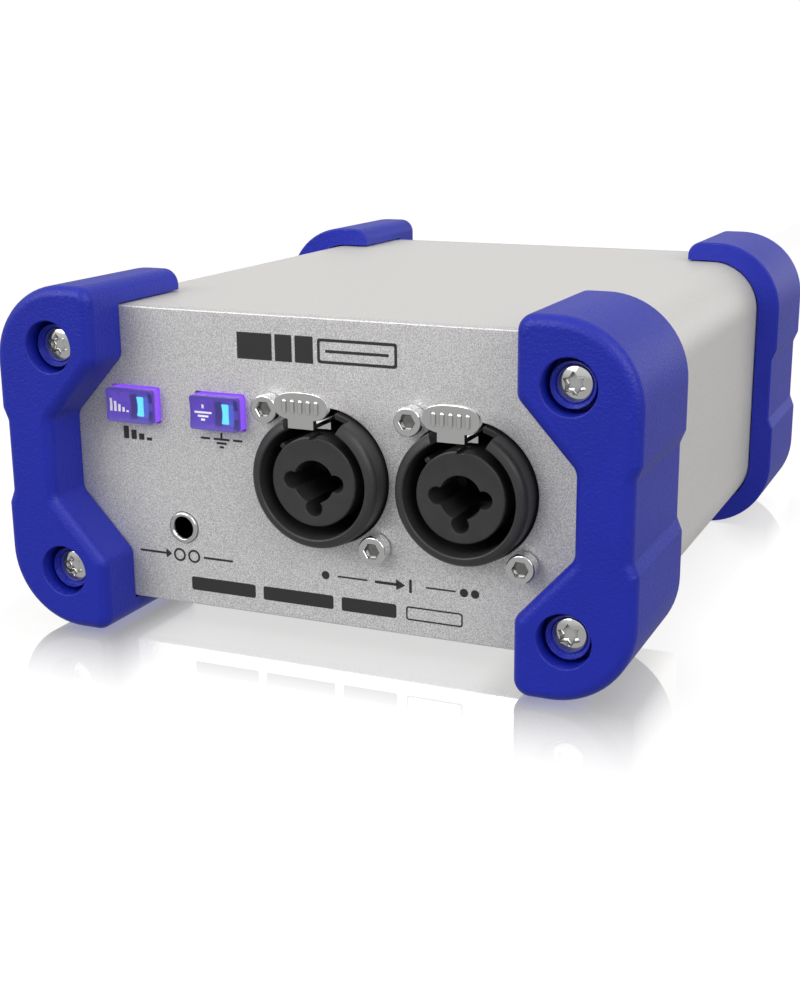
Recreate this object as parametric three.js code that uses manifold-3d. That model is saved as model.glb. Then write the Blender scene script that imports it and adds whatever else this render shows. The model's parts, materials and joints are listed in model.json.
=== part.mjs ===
// Direct injection box: an extruded case closed by two end panels and guarded
// by four moulded corner bumpers.  Two combination sockets, two illuminated
// push buttons and a mini jack are on the front; two three-pin outputs and two
// link jacks are on the rear.
//
// Millimetres, +Z up, +X to the right when facing the front panel, the front
// faces -Y.  The origin is the centre of the underside of the whole box.
// Inside the group, heights are measured from the centre plane and depths from
// a datum 72 mm behind the front faces of the bumpers.
import * as THREE from "three";
import { mergeVertices } from "three/addons/utils/BufferGeometryUtils.js";
import Module from "manifold-3d";

const wasm = await Module();
wasm.setup();

// --------------------------------------------------------- shared dimensions
// _R is a radius, _T a thickness, _Y a depth in the group; a pair is a span.
const WIDTH = 117.2, DEPTH = 139.8, HEIGHT = 62; // over the bumpers
const HALF_W = WIDTH / 2, HALF_H = HEIGHT / 2;
const FACE_Y = -72; // front faces of the front bumpers
const REAR_SHIFT = DEPTH + 2 * FACE_Y; // brings a mirrored front piece to the rear
const GAP = 0.3; // running gap between neighbouring pieces
const OVERCUT = 1; // how far a cutter runs past the surface it opens

const CASE_HALF_W = 53.8, CASE_HALF_H = 26.9, CASE_R = 10, CASE_WALL = 2;
const PANEL_Y = -62.5, PANEL_T = 2; // outer face of the front panel
const BEHIND_PANEL = PANEL_Y + PANEL_T + GAP;
const CASE_SPAN = [BEHIND_PANEL, REAR_SHIFT - BEHIND_PANEL];

const SCREW_X = 47.12, SCREW_Z = 20.3; // bumper screws, from the centre
const SCREW_R = 1.5, SCREW_CLEARANCE_R = 1.9;

const SOCKET_Z = -0.32; // all four large sockets
const INPUT_X = [0.985, 27.48], OUTPUT_X = [-24.5, 2];
const SOCKET_RING_R = 11.65, PANEL_SOCKET_HOLE_R = 12;
const PIN_SPREAD = 4.05, PIN_DROP = 4.5;
const PIN_SPOTS = [[-PIN_SPREAD, 0], [PIN_SPREAD, 0], [0, -PIN_DROP]];
const CAP_SHANK_R = 1.25, CAP_SCREW_X = 9.9, CAP_SCREW_Z = 11.4; // from the socket centre

const BUTTON_X = [-36.05, -18.9], BUTTON_Z = 9.45, BUTTON_W = 9.5, BUTTON_H = 6;
const MINI_SPOT = [-27.38, -12.5], MINI_R = 2.83;
const LINK_X = 24.5, LINK_Z = [8.8, -7], LINK_NECK_R = 4.6;

const MAIN_BOARD_Z = [-15.2, -13.6];
const CONTROL_BOARD_Y = [-44.5, -42.9];
const CONTROL_REAR = CONTROL_BOARD_Y[0] - GAP; // backs of the switches and mini jack

// ----------------------------------------------------------------- materials
const BLUE = { color: 0x262ea0, roughness: 0.5, metalness: 0 };
const SILVER = { color: 0xb2b0b2, roughness: 0.42, metalness: 0.8 };
const CASE_GREY = { color: 0xd2d0cd, roughness: 0.5, metalness: 0.6 };
const CHARCOAL = { color: 0x303030, roughness: 0.55, metalness: 0 };
const CHROME = { color: 0xcfcfcf, roughness: 0.15, metalness: 1 };
const STEEL = { color: 0xb9b9b7, roughness: 0.28, metalness: 1 };
const VIOLET = { color: 0x6a4bc4, roughness: 0.25, metalness: 0 };
const CYAN = { color: 0x6eebff, roughness: 0.3, metalness: 0, emissive: 0x35bfe0 };
const BOARD_GREEN = { color: 0x1d6b3a, roughness: 0.6, metalness: 0 };
const BLACK = { color: 0x161616, roughness: 0.6, metalness: 0 };
const GOLD = { color: 0xd8b45a, roughness: 0.25, metalness: 1 };

// ------------------------------------------------------------------- helpers
const toSolid = (geometry) => {
  // Normals and uvs would keep coincident corners apart.
  geometry.deleteAttribute("normal");
  geometry.deleteAttribute("uv");
  const merged = mergeVertices(geometry, 1e-4);
  return new wasm.Manifold(
    new wasm.Mesh({
      numProp: 3,
      vertProperties: new Float32Array(merged.attributes.position.array),
      triVerts: new Uint32Array(merged.index.array),
    }),
  );
};
const toGeometry = (solid) => {
  const { vertProperties, triVerts } = solid.getMesh();
  const geometry = new THREE.BufferGeometry();
  geometry.setAttribute(
    "position",
    new THREE.BufferAttribute(new Float32Array(vertProperties), 3),
  );
  geometry.setIndex(new THREE.BufferAttribute(new Uint32Array(triVerts), 1));
  geometry.computeVertexNormals();
  return geometry;
};

const group = new THREE.Group();
group.position.set(0, -FACE_Y - DEPTH / 2, HALF_H);
const add = (name, solid, look) => {
  const mesh = new THREE.Mesh(toGeometry(solid), new THREE.MeshStandardMaterial(look));
  mesh.name = name;
  group.add(mesh);
};

const centred = (size) => [-size / 2, size / 2];
const box = ([x0, x1], [y0, y1], [z0, z1]) => {
  const geometry = new THREE.BoxGeometry(x1 - x0, y1 - y0, z1 - z0);
  geometry.translate((x0 + x1) / 2, (y0 + y1) / 2, (z0 + z1) / 2);
  return toSolid(geometry);
};
// A cylinder along y through the spot [x, z].
const rodY = ([x, z], radius, [y0, y1], segments) => {
  const geometry = new THREE.CylinderGeometry(radius, radius, y1 - y0, segments);
  geometry.translate(x, (y0 + y1) / 2, z);
  return toSolid(geometry);
};
// A cylinder along x through the spot [y, z].
const rodX = ([y, z], radius, [x0, x1], segments) => {
  const geometry = new THREE.CylinderGeometry(radius, radius, x1 - x0, segments);
  geometry.rotateZ(-Math.PI / 2);
  geometry.translate((x0 + x1) / 2, y, z);
  return toSolid(geometry);
};
// The same hole along y at each spot [x, z].
const drill = (solid, spots, radius, span, segments) =>
  spots.reduce((rest, spot) => rest.subtract(rodY(spot, radius, span, segments)), solid);

const shapeOf = (points) => new THREE.Shape(points.map(([a, b]) => new THREE.Vector2(a, b)));
const extrude = (points, depth) =>
  new THREE.ExtrudeGeometry(shapeOf(points), { depth, bevelEnabled: false });
// A closed outline of [x, z], drawn out along y.
const prismY = (points, [y0, y1]) => {
  const geometry = extrude(points, y1 - y0);
  geometry.rotateX(Math.PI / 2);
  geometry.translate(0, y1, 0);
  return toSolid(geometry);
};
// A closed outline of [y, z], drawn out along x.
const prismX = (points, [x0, x1]) => {
  const geometry = extrude(points, x1 - x0);
  geometry.rotateY(Math.PI / 2);
  geometry.rotateX(Math.PI / 2);
  geometry.translate(x0, 0, 0);
  return toSolid(geometry);
};
// A piece turned about the y axis.  The profile of [radius, y] runs from front
// to rear over the outside, so that its faces point outwards.
const turned = (profile, segments) =>
  toSolid(new THREE.LatheGeometry(profile.map(([r, y]) => new THREE.Vector2(r, y)), segments));

// Points evenly spaced in angle, the first of them `offset` steps round.
const polar = (count, radiusAt, offset = 0) =>
  Array.from({ length: count }, (_, i) => {
    const angle = ((i + offset) * 2 * Math.PI) / count;
    return [radiusAt(i) * Math.cos(angle), radiusAt(i) * Math.sin(angle)];
  });
// Corner points [x, z, radius] turned into an outline with rounded corners.
const rounded = (corners, perQuarter) => {
  const count = corners.length;
  return corners.flatMap(([x, z, radius], i) => {
    const corner = new THREE.Vector2(x, z);
    const towards = (k) => {
      const [otherX, otherZ] = corners[k % count];
      return new THREE.Vector2(otherX, otherZ).sub(corner).normalize();
    };
    const before = towards(i + count - 1);
    const after = towards(i + 1);
    const halfAngle = Math.acos(before.dot(after)) / 2;
    const reach = radius / Math.tan(halfAngle);
    const centre = before.clone().add(after).normalize()
      .multiplyScalar(radius / Math.sin(halfAngle)).add(corner);
    const from = before.multiplyScalar(reach).add(corner).sub(centre);
    const to = after.multiplyScalar(reach).add(corner).sub(centre);
    const start = Math.atan2(from.y, from.x);
    let sweep = Math.atan2(to.y, to.x) - start;
    if (sweep > Math.PI) sweep -= 2 * Math.PI;
    if (sweep < -Math.PI) sweep += 2 * Math.PI;
    const steps = Math.max(1, Math.round((Math.abs(sweep) / (Math.PI / 2)) * perQuarter));
    return Array.from({ length: steps + 1 }, (_, k) => {
      const angle = start + (sweep * k) / steps;
      return [centre.x + radius * Math.cos(angle), centre.y + radius * Math.sin(angle)];
    });
  });
};
const roundRect = (halfW, halfH, r, perQuarter) =>
  rounded(
    [[halfW, halfH, r], [-halfW, halfH, r], [-halfW, -halfH, r], [halfW, -halfH, r]],
    perQuarter,
  );
// The case outline moved outwards by `offset`.
const caseOutline = (offset, perQuarter) =>
  roundRect(CASE_HALF_W + offset, CASE_HALF_H + offset, CASE_R + offset, perQuarter);

const mirrorX = (solid) => solid.mirror([1, 0, 0]);
const mirrorY = (solid) => solid.mirror([0, 1, 0]).translate([0, REAR_SHIFT, 0]);
// Turns a shape made for the front round to the rear; x changes sign.
const toRear = (solid) => solid.rotate([0, 0, 180]).translate([0, REAR_SHIFT, 0]);

const SIDES = ["left", "right"];
const LEVELS = ["upper", "lower"];
const CORNERS = [[-1, -1], [-1, 1], [1, -1], [1, 1]]; // signs of x and z
const SCREW_SPOTS = CORNERS.map(([sx, sz]) => [sx * SCREW_X, sz * SCREW_Z]);
// The upper left and lower right cap screws of a socket.
const capScrewSpots = (x, z) => [
  [x - CAP_SCREW_X, z + CAP_SCREW_Z],
  [x + CAP_SCREW_X, z - CAP_SCREW_Z],
];

// ---------------------------------------------------------------- case shell
const RAIL_T = 1, RAIL_X = [49.2, CASE_HALF_W - CASE_WALL + 0.4];
const CHANNEL_R = 3.4;
// Outline of a corner web: [x, z] from the screw axis, both pointing outwards.
const WEB = [[-2, 2], [2, -2], [5.2, -1], [2.2, 4], [-1, 5.4]];

// Two rails above and below the right-hand edge of the main board.
const boardRails = () => {
  const top = MAIN_BOARD_Z[1] + GAP;
  const bottom = MAIN_BOARD_Z[0] - GAP;
  return box(RAIL_X, CASE_SPAN, [top, top + RAIL_T])
    .add(box(RAIL_X, CASE_SPAN, [bottom - RAIL_T, bottom]));
};
const caseShell = () => {
  const [front, rear] = CASE_SPAN;
  const envelope = prismY(caseOutline(0, 7), CASE_SPAN);
  const rails = boardRails();
  let shell = envelope
    .subtract(prismY(caseOutline(-CASE_WALL, 4), [front - OVERCUT, rear + OVERCUT]))
    .add(rails)
    .add(mirrorX(rails));
  // a screw channel in each corner, tied to the wall by a web
  CORNERS.forEach(([sx, sz], i) => {
    const web = WEB.map(([x, z]) => [sx * (SCREW_X + x), sz * (SCREW_Z + z)]);
    shell = shell
      .add(rodY(SCREW_SPOTS[i], CHANNEL_R, CASE_SPAN, 12))
      .add(prismY(web, CASE_SPAN));
  });
  const drillSpan = [front - OVERCUT, rear + OVERCUT];
  return drill(shell, SCREW_SPOTS, SCREW_R + GAP, drillSpan, 10).intersect(envelope);
};
add("case_shell", caseShell(), CASE_GREY);

// -------------------------------------------------------------------- panels
const PANEL_HALF_W = 53.6, PANEL_HALF_H = 26.7, PANEL_R = 9.8;
const PANEL_CUT = [PANEL_Y - OVERCUT, PANEL_Y + PANEL_T + OVERCUT];

const panelFor = (socketXs) => {
  const outline = roundRect(PANEL_HALF_W, PANEL_HALF_H, PANEL_R, 5);
  let panel = prismY(outline, [PANEL_Y, PANEL_Y + PANEL_T]);
  panel = drill(panel, SCREW_SPOTS, SCREW_CLEARANCE_R, PANEL_CUT, 10);
  for (const x of socketXs) {
    panel = drill(panel, [[x, SOCKET_Z]], PANEL_SOCKET_HOLE_R, PANEL_CUT, 28);
    panel = drill(panel, capScrewSpots(x, SOCKET_Z), CAP_SHANK_R + GAP, PANEL_CUT, 8);
  }
  return panel;
};
const frontPanel = () => {
  let panel = panelFor(INPUT_X);
  const window = box(centred(BUTTON_W + 2 * GAP), PANEL_CUT, centred(BUTTON_H + 2 * GAP));
  for (const x of BUTTON_X) panel = panel.subtract(window.translate([x, 0, BUTTON_Z]));
  return drill(panel, [MINI_SPOT], MINI_R + GAP, PANEL_CUT, 16);
};
const rearPanel = () => {
  const linkSpots = LINK_Z.map((z) => [-LINK_X, z]);
  const panel = panelFor(OUTPUT_X.map((x) => -x));
  return toRear(drill(panel, linkSpots, LINK_NECK_R + GAP, PANEL_CUT, 16));
};
add("front_panel", frontPanel(), SILVER);
add("rear_panel", rearPanel(), SILVER);

// ------------------------------------------------------------------- bumpers
const BUMPER_DEPTH = 29.1, BUMPER_INNER_X = 38.4, BUMPER_WAIST_X = 48.2;
const BUMPER_R = 14, BUMPER_RECESS = 0.95;
const HEAD_R = 2.93, HEAD_T = 2.1, HEAD_CROWN = 0.3, SCREW_LENGTH = 16;
const HEAD_Y = FACE_Y + 2.95; // rim of the screw head
const HEAD_REAR = HEAD_Y + HEAD_T;
const COUNTERBORE_R = 4.55, COUNTERBORE_FLOOR = FACE_Y + 5.5;
const COLLAR_R = 3.76, COLLAR_Y = FACE_Y + 2.25;
const LOBE_R = 2.15, LOBE_WAIST = 0.64, LOBE_DEPTH = 0.8;

// Outline of the right-hand bumper: x, z, corner radius.
const BUMPER_OUTLINE = [
  [BUMPER_INNER_X, HALF_H, 2.9],
  [BUMPER_INNER_X, 17.9, 2.5],
  [BUMPER_WAIST_X, 7.1, 2.5],
  [BUMPER_WAIST_X, -7.1, 2.5],
  [BUMPER_INNER_X, -17.9, 2.5],
  [BUMPER_INNER_X, -HALF_H, 2.9],
  [HALF_W, -HALF_H, BUMPER_R],
  [HALF_W, -8.7, 1],
  [HALF_W - BUMPER_RECESS, -6.4, 1],
  [HALF_W - BUMPER_RECESS, 6.4, 1],
  [HALF_W, 8.7, 1],
  [HALF_W, HALF_H, BUMPER_R],
];
// The tapered mouth of a collar and the seat for the screw head: radius, y.
const SEAT_PROFILE = [
  [0, FACE_Y],
  [COLLAR_R + 0.4, FACE_Y],
  [COLLAR_R - 0.14, COLLAR_Y],
  [HEAD_R + GAP, HEAD_Y],
  [HEAD_R + GAP, HEAD_REAR + GAP],
  [0, HEAD_REAR + GAP],
];
// Crowned screw head: radius, y.
const HEAD_PROFILE = [
  [0, HEAD_Y - HEAD_CROWN],
  [1.4, HEAD_Y - HEAD_CROWN * 0.7],
  [2.2, HEAD_Y - HEAD_CROWN * 0.24],
  [2.82, HEAD_Y + 0.14],
  [HEAD_R, HEAD_Y + 0.36],
  [HEAD_R, HEAD_REAR],
  [0, HEAD_REAR],
];

const frontRightBumper = () => {
  const rear = FACE_Y + BUMPER_DEPTH;
  let bumper = prismY(rounded(BUMPER_OUTLINE, 6), [FACE_Y, rear])
    .subtract(prismY(caseOutline(GAP, 6), [PANEL_Y - GAP, rear + OVERCUT]));
  for (const z of [-SCREW_Z, SCREW_Z]) {
    const spot = [SCREW_X, z];
    // a collar stands in each counterbore and carries the screw head
    bumper = bumper
      .subtract(rodY(spot, COUNTERBORE_R, [FACE_Y - OVERCUT, COUNTERBORE_FLOOR], 18))
      .add(rodY(spot, COLLAR_R, [COLLAR_Y, COUNTERBORE_FLOOR + 1], 18))
      .subtract(turned(SEAT_PROFILE, 18).translate([SCREW_X, 0, z]))
      .subtract(rodY(spot, SCREW_CLEARANCE_R, [FACE_Y, PANEL_Y + OVERCUT], 10));
  }
  return bumper;
};
const bumperScrew = () => {
  const star = polar(12, (i) => (i % 2 ? LOBE_R * LOBE_WAIST : LOBE_R), 3);
  return turned(HEAD_PROFILE, 16)
    .add(rodY([0, 0], SCREW_R, [HEAD_REAR - 0.2, HEAD_REAR + SCREW_LENGTH], 8))
    .subtract(prismY(star, [HEAD_Y - OVERCUT, HEAD_Y + LOBE_DEPTH]));
};

const bumper = frontRightBumper();
add("bumper_front_right", bumper, BLUE);
add("bumper_front_left", mirrorX(bumper), BLUE);
add("bumper_rear_right", mirrorY(bumper), BLUE);
add("bumper_rear_left", mirrorX(mirrorY(bumper)), BLUE);
for (const end of ["front", "rear"])
  for (const [side, x] of [["left", -SCREW_X], ["right", SCREW_X]])
    for (const [level, z] of [["upper", SCREW_Z], ["lower", -SCREW_Z]]) {
      const screw = bumperScrew().translate([x, 0, z]);
      add(`bumper_screw_${end}_${side}_${level}`, end === "front" ? screw : mirrorY(screw), CHROME);
    }

// --------------------------------------------------------- socket cap screws
const CAP_R = 2.5, CAP_T = 2.45, CAP_CHAMFER = 0.3, CAP_SHANK_END = PANEL_Y + 7;
const CAP_SEAT = PANEL_Y - GAP, CAP_Y = CAP_SEAT - CAP_T;
const HEX_ACROSS_FLATS = 2.5, HEX_DEPTH = 1.5;

const makeCapScrew = () => {
  const hexR = HEX_ACROSS_FLATS / 2 / Math.cos(Math.PI / 6);
  const well = prismY(polar(6, () => hexR, 0.5), [CAP_Y - OVERCUT, CAP_Y + HEX_DEPTH]);
  const profile = [
    [0, CAP_Y],
    [CAP_R - CAP_CHAMFER, CAP_Y],
    [CAP_R, CAP_Y + CAP_CHAMFER],
    [CAP_R, CAP_SEAT],
    [CAP_SHANK_R, CAP_SEAT],
    [CAP_SHANK_R, CAP_SHANK_END],
    [0, CAP_SHANK_END],
  ];
  return turned(profile, 12).subtract(well);
};
const capScrew = makeCapScrew();
const drillCapScrews = (solid) =>
  drill(solid, capScrewSpots(0, 0), CAP_SHANK_R + GAP, [PANEL_Y - OVERCUT, -54], 8);

// ------------------------------------------------- combination input sockets
// Drawn about a centre at x = 0, z = 0.
const RING_Y = PANEL_Y - 5, RING_REAR = PANEL_Y + 3;
const SOCKET_BORE_R = 9.8, SOCKET_REAR = -36;
const FLANGE_W = 26, FLANGE_H = 31, FLANGE_Y = [BEHIND_PANEL, BEHIND_PANEL + 2.5];
const NOTCH_HALF_DEG = 28, NOTCH_REACH = [8.6, 14]; // radii at the notch corners
const SILL_R = 10.65, SILL_Y = PANEL_Y - 0.9; // a low sill closes the notch
const LATCH_SLOT = 5.4; // width of the slot through the sill
const PIVOT = [-57, 10.45], TRUNNION_R = 0.8; // pivot as y, z
const CORE_Y = PANEL_Y - 4.1, CORE_R = 7.8, CORE_CHAMFER = 0.25;
const CORE_STEP_Y = -47, CORE_REAR = -38; // the wide rear part of the core
const JACK_R = 3.7, JACK_FLOOR = -41, PIN_HOLE_R = 1.5, PIN_HOLE_FLOOR = PANEL_Y + 8;

const RING_PROFILE = [ // radius, y
  [SOCKET_BORE_R, RING_Y],
  [10.9, RING_Y + 0.25],
  [11.4, RING_Y + 0.8],
  [SOCKET_RING_R, RING_Y + 1.5],
  [SOCKET_RING_R, RING_REAR],
  [SOCKET_BORE_R, RING_REAR],
  [SOCKET_BORE_R, RING_Y],
];
const flange = () => box(centred(FLANGE_W), FLANGE_Y, centred(FLANGE_H));
// The wedge cut from the top of the ring.
const notch = () => {
  const angle = THREE.MathUtils.degToRad(NOTCH_HALF_DEG);
  const [inner, outer] = NOTCH_REACH;
  const corner = (side, reach) => [side * reach * Math.sin(angle), reach * Math.cos(angle)];
  return prismY(
    [corner(-1, inner), corner(1, inner), corner(1, outer), corner(-1, outer)],
    [RING_Y - 3, BEHIND_PANEL],
  );
};
const sill = () => {
  const profile = [
    [SILL_R, SILL_Y],
    [SOCKET_RING_R, SILL_Y],
    [SOCKET_RING_R, RING_REAR],
    [SILL_R, RING_REAR],
    [SILL_R, SILL_Y],
  ];
  const depth = [PANEL_Y - 3, RING_REAR + OVERCUT];
  const height = [8, 13];
  return turned(profile, 28)
    .intersect(box([-7, 7], depth, height))
    .subtract(box(centred(LATCH_SLOT), depth, height));
};
const makeInputShell = () => {
  const shell = turned(RING_PROFILE, 28)
    .add(flange())
    .add(box([-12, 12], [BEHIND_PANEL + 1, SOCKET_REAR], [-12.5, 12.5]))
    .subtract(rodY([0, 0], SOCKET_BORE_R, [RING_Y - OVERCUT, SOCKET_REAR + 6], 28))
    .subtract(notch())
    .subtract(box([-4.2, 4.2], [PANEL_Y - 1, -48], [8.5, 12.2])) // room for the latch
    .add(sill())
    .subtract(rodX(PIVOT, TRUNNION_R + GAP, [-7, 7], 10));
  return drillCapScrews(shell);
};
const makeInputCore = () => {
  const profile = [
    [0, CORE_Y],
    [CORE_R - CORE_CHAMFER, CORE_Y],
    [CORE_R, CORE_Y + CORE_CHAMFER],
    [CORE_R, CORE_STEP_Y],
    [SOCKET_BORE_R - GAP, CORE_STEP_Y],
    [SOCKET_BORE_R - GAP, CORE_REAR],
    [0, CORE_REAR],
  ];
  const cutFrom = CORE_Y - OVERCUT;
  const core = turned(profile, 24)
    .subtract(rodY([0, 0], JACK_R, [cutFrom, JACK_FLOOR], 20))
    .subtract(box([-0.6, 0.6], [cutFrom, PANEL_Y], [7.35, 9])); // groove at the top
  return drill(core, PIN_SPOTS, PIN_HOLE_R, [cutFrom, PIN_HOLE_FLOOR], 12);
};

// The release latch: a finger tab on a neck, an arm that runs back through the
// notch in the ring, a hook above the bore, and trunnions that turn in the shell.
const TAB_Y = PANEL_Y - 8.1, TAB_T = 1.2, TAB_W = 9.9, TAB_Z = [11.3, 16.1];
const TAB_POWER = 0.8; // below 1 makes the tab fuller than an ellipse
const NECK_W = 4.65, ARM_Z = [10, 10.9], ARM_REAR = -52.5;
const HOOK = [[-63.2, 10.2], [-63.2, 8.5], [-62.4, 8.5], [-60.6, 10.2]]; // y, z
// A leaf under the latch's tail pushes it up, which holds the hook down: y, z.
const LEAF = [
  [-48.4, 8.9], [-54.4, 8.9], [-55.6, 9.5], [-55.6, 9.75], [-54.3, 9.2], [-48.4, 9.2],
];
const makeLatch = () => {
  const [low, top] = TAB_Z;
  const fuller = (value) => Math.sign(value) * Math.abs(value) ** TAB_POWER;
  const oval = polar(40, () => 1).map(([x, z]) => [
    (TAB_W / 2) * fuller(x),
    (low + top) / 2 + ((top - low) / 2) * fuller(z),
  ]);
  const tabSpan = [TAB_Y, TAB_Y + TAB_T];
  return prismY(oval, tabSpan)
    .add(box(centred(NECK_W), tabSpan, [ARM_Z[0], low + 0.5]))
    .add(box(centred(NECK_W), [TAB_Y + 0.1, ARM_REAR], ARM_Z))
    .add(prismX(HOOK, [-1.8, 1.8]))
    .add(rodX(PIVOT, TRUNNION_R, [-6.6, 6.6], 10));
};

const inputShell = makeInputShell();
const inputCore = makeInputCore();
const latch = makeLatch();
const latchSpring = prismX(LEAF, [-1.5, 1.5]);
SIDES.forEach((side, i) => {
  const at = [INPUT_X[i], 0, SOCKET_Z];
  add(`input_socket_shell_${side}`, inputShell.translate(at), CHARCOAL);
  add(`input_socket_core_${side}`, inputCore.translate(at), CHARCOAL);
  add(`latch_tab_${side}`, latch.translate(at), STEEL);
  add(`latch_spring_${side}`, latchSpring.translate(at), STEEL);
  capScrewSpots(INPUT_X[i], SOCKET_Z).forEach(([x, z], k) =>
    add(`socket_screw_front_${side}_${LEVELS[k]}`, capScrew.translate([x, 0, z]), STEEL),
  );
});

// ------------------------------------------------------- illuminated buttons
const BUTTON_Y = PANEL_Y - 2.6, BUTTON_REAR = -59.8, BUTTON_DISH = 0.5;
const LENS_SHIFT = 2.2, LENS_W = 1.45, LENS_H = 3.5, LENS_SINK = 0.7;
const LENS_POCKET_FLOOR = -59;
const SPRING_R = 2.25, SPRING_Y = [-57.95, -54.55], SPRING_TURNS = 3, WIRE_R = 0.22;

const makeButtonCap = () => {
  // the face is hollowed by a cylinder along x, from the sagitta of its chord
  const dishR = ((BUTTON_H / 2) ** 2 + BUTTON_DISH ** 2) / (2 * BUTTON_DISH);
  const pocket = box(
    centred(LENS_W + 2 * GAP),
    [BUTTON_Y - OVERCUT, LENS_POCKET_FLOOR],
    centred(LENS_H + 2 * GAP),
  );
  return box(centred(BUTTON_W), [BUTTON_Y, BUTTON_REAR], centred(BUTTON_H))
    .subtract(rodX([BUTTON_Y + BUTTON_DISH - dishR, 0], dishR, [-8, 8], 96))
    .subtract(pocket.translate([LENS_SHIFT, 0, 0]));
};
const makeLens = () =>
  box(centred(LENS_W), [BUTTON_Y + LENS_SINK, BUTTON_REAR], centred(LENS_H))
    .translate([LENS_SHIFT, 0, 0]);
const makePlunger = () =>
  rodY([0, 0], 2.6, [-59.5, -58.5], 16).add(rodY([0, 0], 1.6, [-58.6, -47.5], 14));
const makeSwitchBody = () =>
  box([-4.3, 4.3], [-54, CONTROL_REAR], [-4, 4])
    .subtract(rodY([0, 0], 1.9, [-54 - OVERCUT, -45.4], 16));

class SpringPath extends THREE.Curve {
  getPoint(t, out = new THREE.Vector3()) {
    const angle = t * SPRING_TURNS * 2 * Math.PI;
    const [y0, y1] = SPRING_Y;
    return out.set(SPRING_R * Math.cos(angle), y0 + (y1 - y0) * t, SPRING_R * Math.sin(angle));
  }
}
const makeButtonSpring = () =>
  toSolid(
    new THREE.ExtrudeGeometry(shapeOf(polar(5, () => WIRE_R)), {
      steps: SPRING_TURNS * 10,
      bevelEnabled: false,
      extrudePath: new SpringPath(),
    }),
  );

["pad", "lift"].forEach((name, i) => {
  const place = (solid) => solid.translate([BUTTON_X[i], 0, BUTTON_Z]);
  add(`${name}_button_cap`, place(makeButtonCap()), VIOLET);
  add(`${name}_button_lens`, place(makeLens()), CYAN);
  add(`${name}_switch_plunger`, place(makePlunger()), BLACK);
  add(`${name}_switch_spring`, place(makeButtonSpring()), STEEL);
  add(`${name}_switch_body`, place(makeSwitchBody()), BLACK);
});

// ----------------------------------------------------------------- mini jack
const MINI_HOLE_R = 1.83, MINI_Y = PANEL_Y - 0.55, MINI_CHAMFER = 0.25;
const MINI_BUSH_REAR = -58, MINI_BODY_Y = -57.7, MINI_FLOOR = -46;

const miniBush = () =>
  turned([
    [MINI_HOLE_R, MINI_Y],
    [MINI_R - MINI_CHAMFER, MINI_Y],
    [MINI_R, MINI_Y + MINI_CHAMFER],
    [MINI_R, MINI_BUSH_REAR],
    [MINI_HOLE_R, MINI_BUSH_REAR],
    [MINI_HOLE_R, MINI_Y],
  ], 18);
const miniBody = () =>
  box([-4, 4], [MINI_BODY_Y, CONTROL_REAR], [-4, 4])
    .subtract(rodY([0, 0], MINI_HOLE_R, [MINI_BODY_Y - OVERCUT, MINI_FLOOR], 16));

const miniPlace = [MINI_SPOT[0], 0, MINI_SPOT[1]];
add("mini_jack_bush", miniBush().translate(miniPlace), STEEL);
add("mini_jack_body", miniBody().translate(miniPlace), BLACK);

// -------------------------------------------------------------------- boards
const MAIN_BOARD_HALF_W = 51.3, MAIN_BOARD_Y = [-42.3, CASE_SPAN[1] - 4];
const ON_BOARD_Z = MAIN_BOARD_Z[1] + GAP; // underside of parts on the main board
const HEADER_X = [-36, -20], HEADER_Y = CONTROL_BOARD_Y[1] + GAP;
const TRANSFORMER_X = [-24, 24], CAN_BEVEL = 0.8;

const boardHeader = () =>
  box(HEADER_X, [HEADER_Y, -38], [ON_BOARD_Z, -10.6])
    .add(box(HEADER_X, [HEADER_Y, -40.5], [-11, -7]));
// Screened output transformer: a drawn can with rounded corners on a moulded foot.
const transformer = () => {
  const can = new THREE.ExtrudeGeometry(shapeOf(roundRect(10, 9, 2.5, 3)), {
    depth: 15,
    bevelEnabled: true,
    bevelThickness: CAN_BEVEL,
    bevelSize: CAN_BEVEL,
    bevelOffset: -CAN_BEVEL,
    bevelSegments: 2,
  });
  return toSolid(can)
    .translate([0, 0, ON_BOARD_Z + 1.5])
    .add(box([-11.5, 11.5], [-10.5, 10.5], [ON_BOARD_Z, ON_BOARD_Z + 1.6]));
};

const mainBoard = box(centred(2 * MAIN_BOARD_HALF_W), MAIN_BOARD_Y, MAIN_BOARD_Z);
add("main_board", mainBoard, BOARD_GREEN);
// carries the two switches and the mini jack, standing in front of the main board
add("control_board", box([-43, -12.8], CONTROL_BOARD_Y, [-17, 16.5]), BOARD_GREEN);
add("board_header", boardHeader(), BLACK);
SIDES.forEach((side, i) =>
  add(`output_transformer_${side}`, transformer().translate([TRANSFORMER_X[i], 0, 0]), STEEL),
);

// -------------------------------------------------------- rear output sockets
// Drawn facing the front and turned round, so x changes sign.
const CUP_R = 8.2, CUP_Y = PANEL_Y - 3, CUP_FLOOR = -46.5, OUTPUT_REAR = -42;
const OUTPUT_PIN_R = 1.2, PIN_TIP_Y = PANEL_Y + 1, PIN_REAR = -41;

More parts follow.
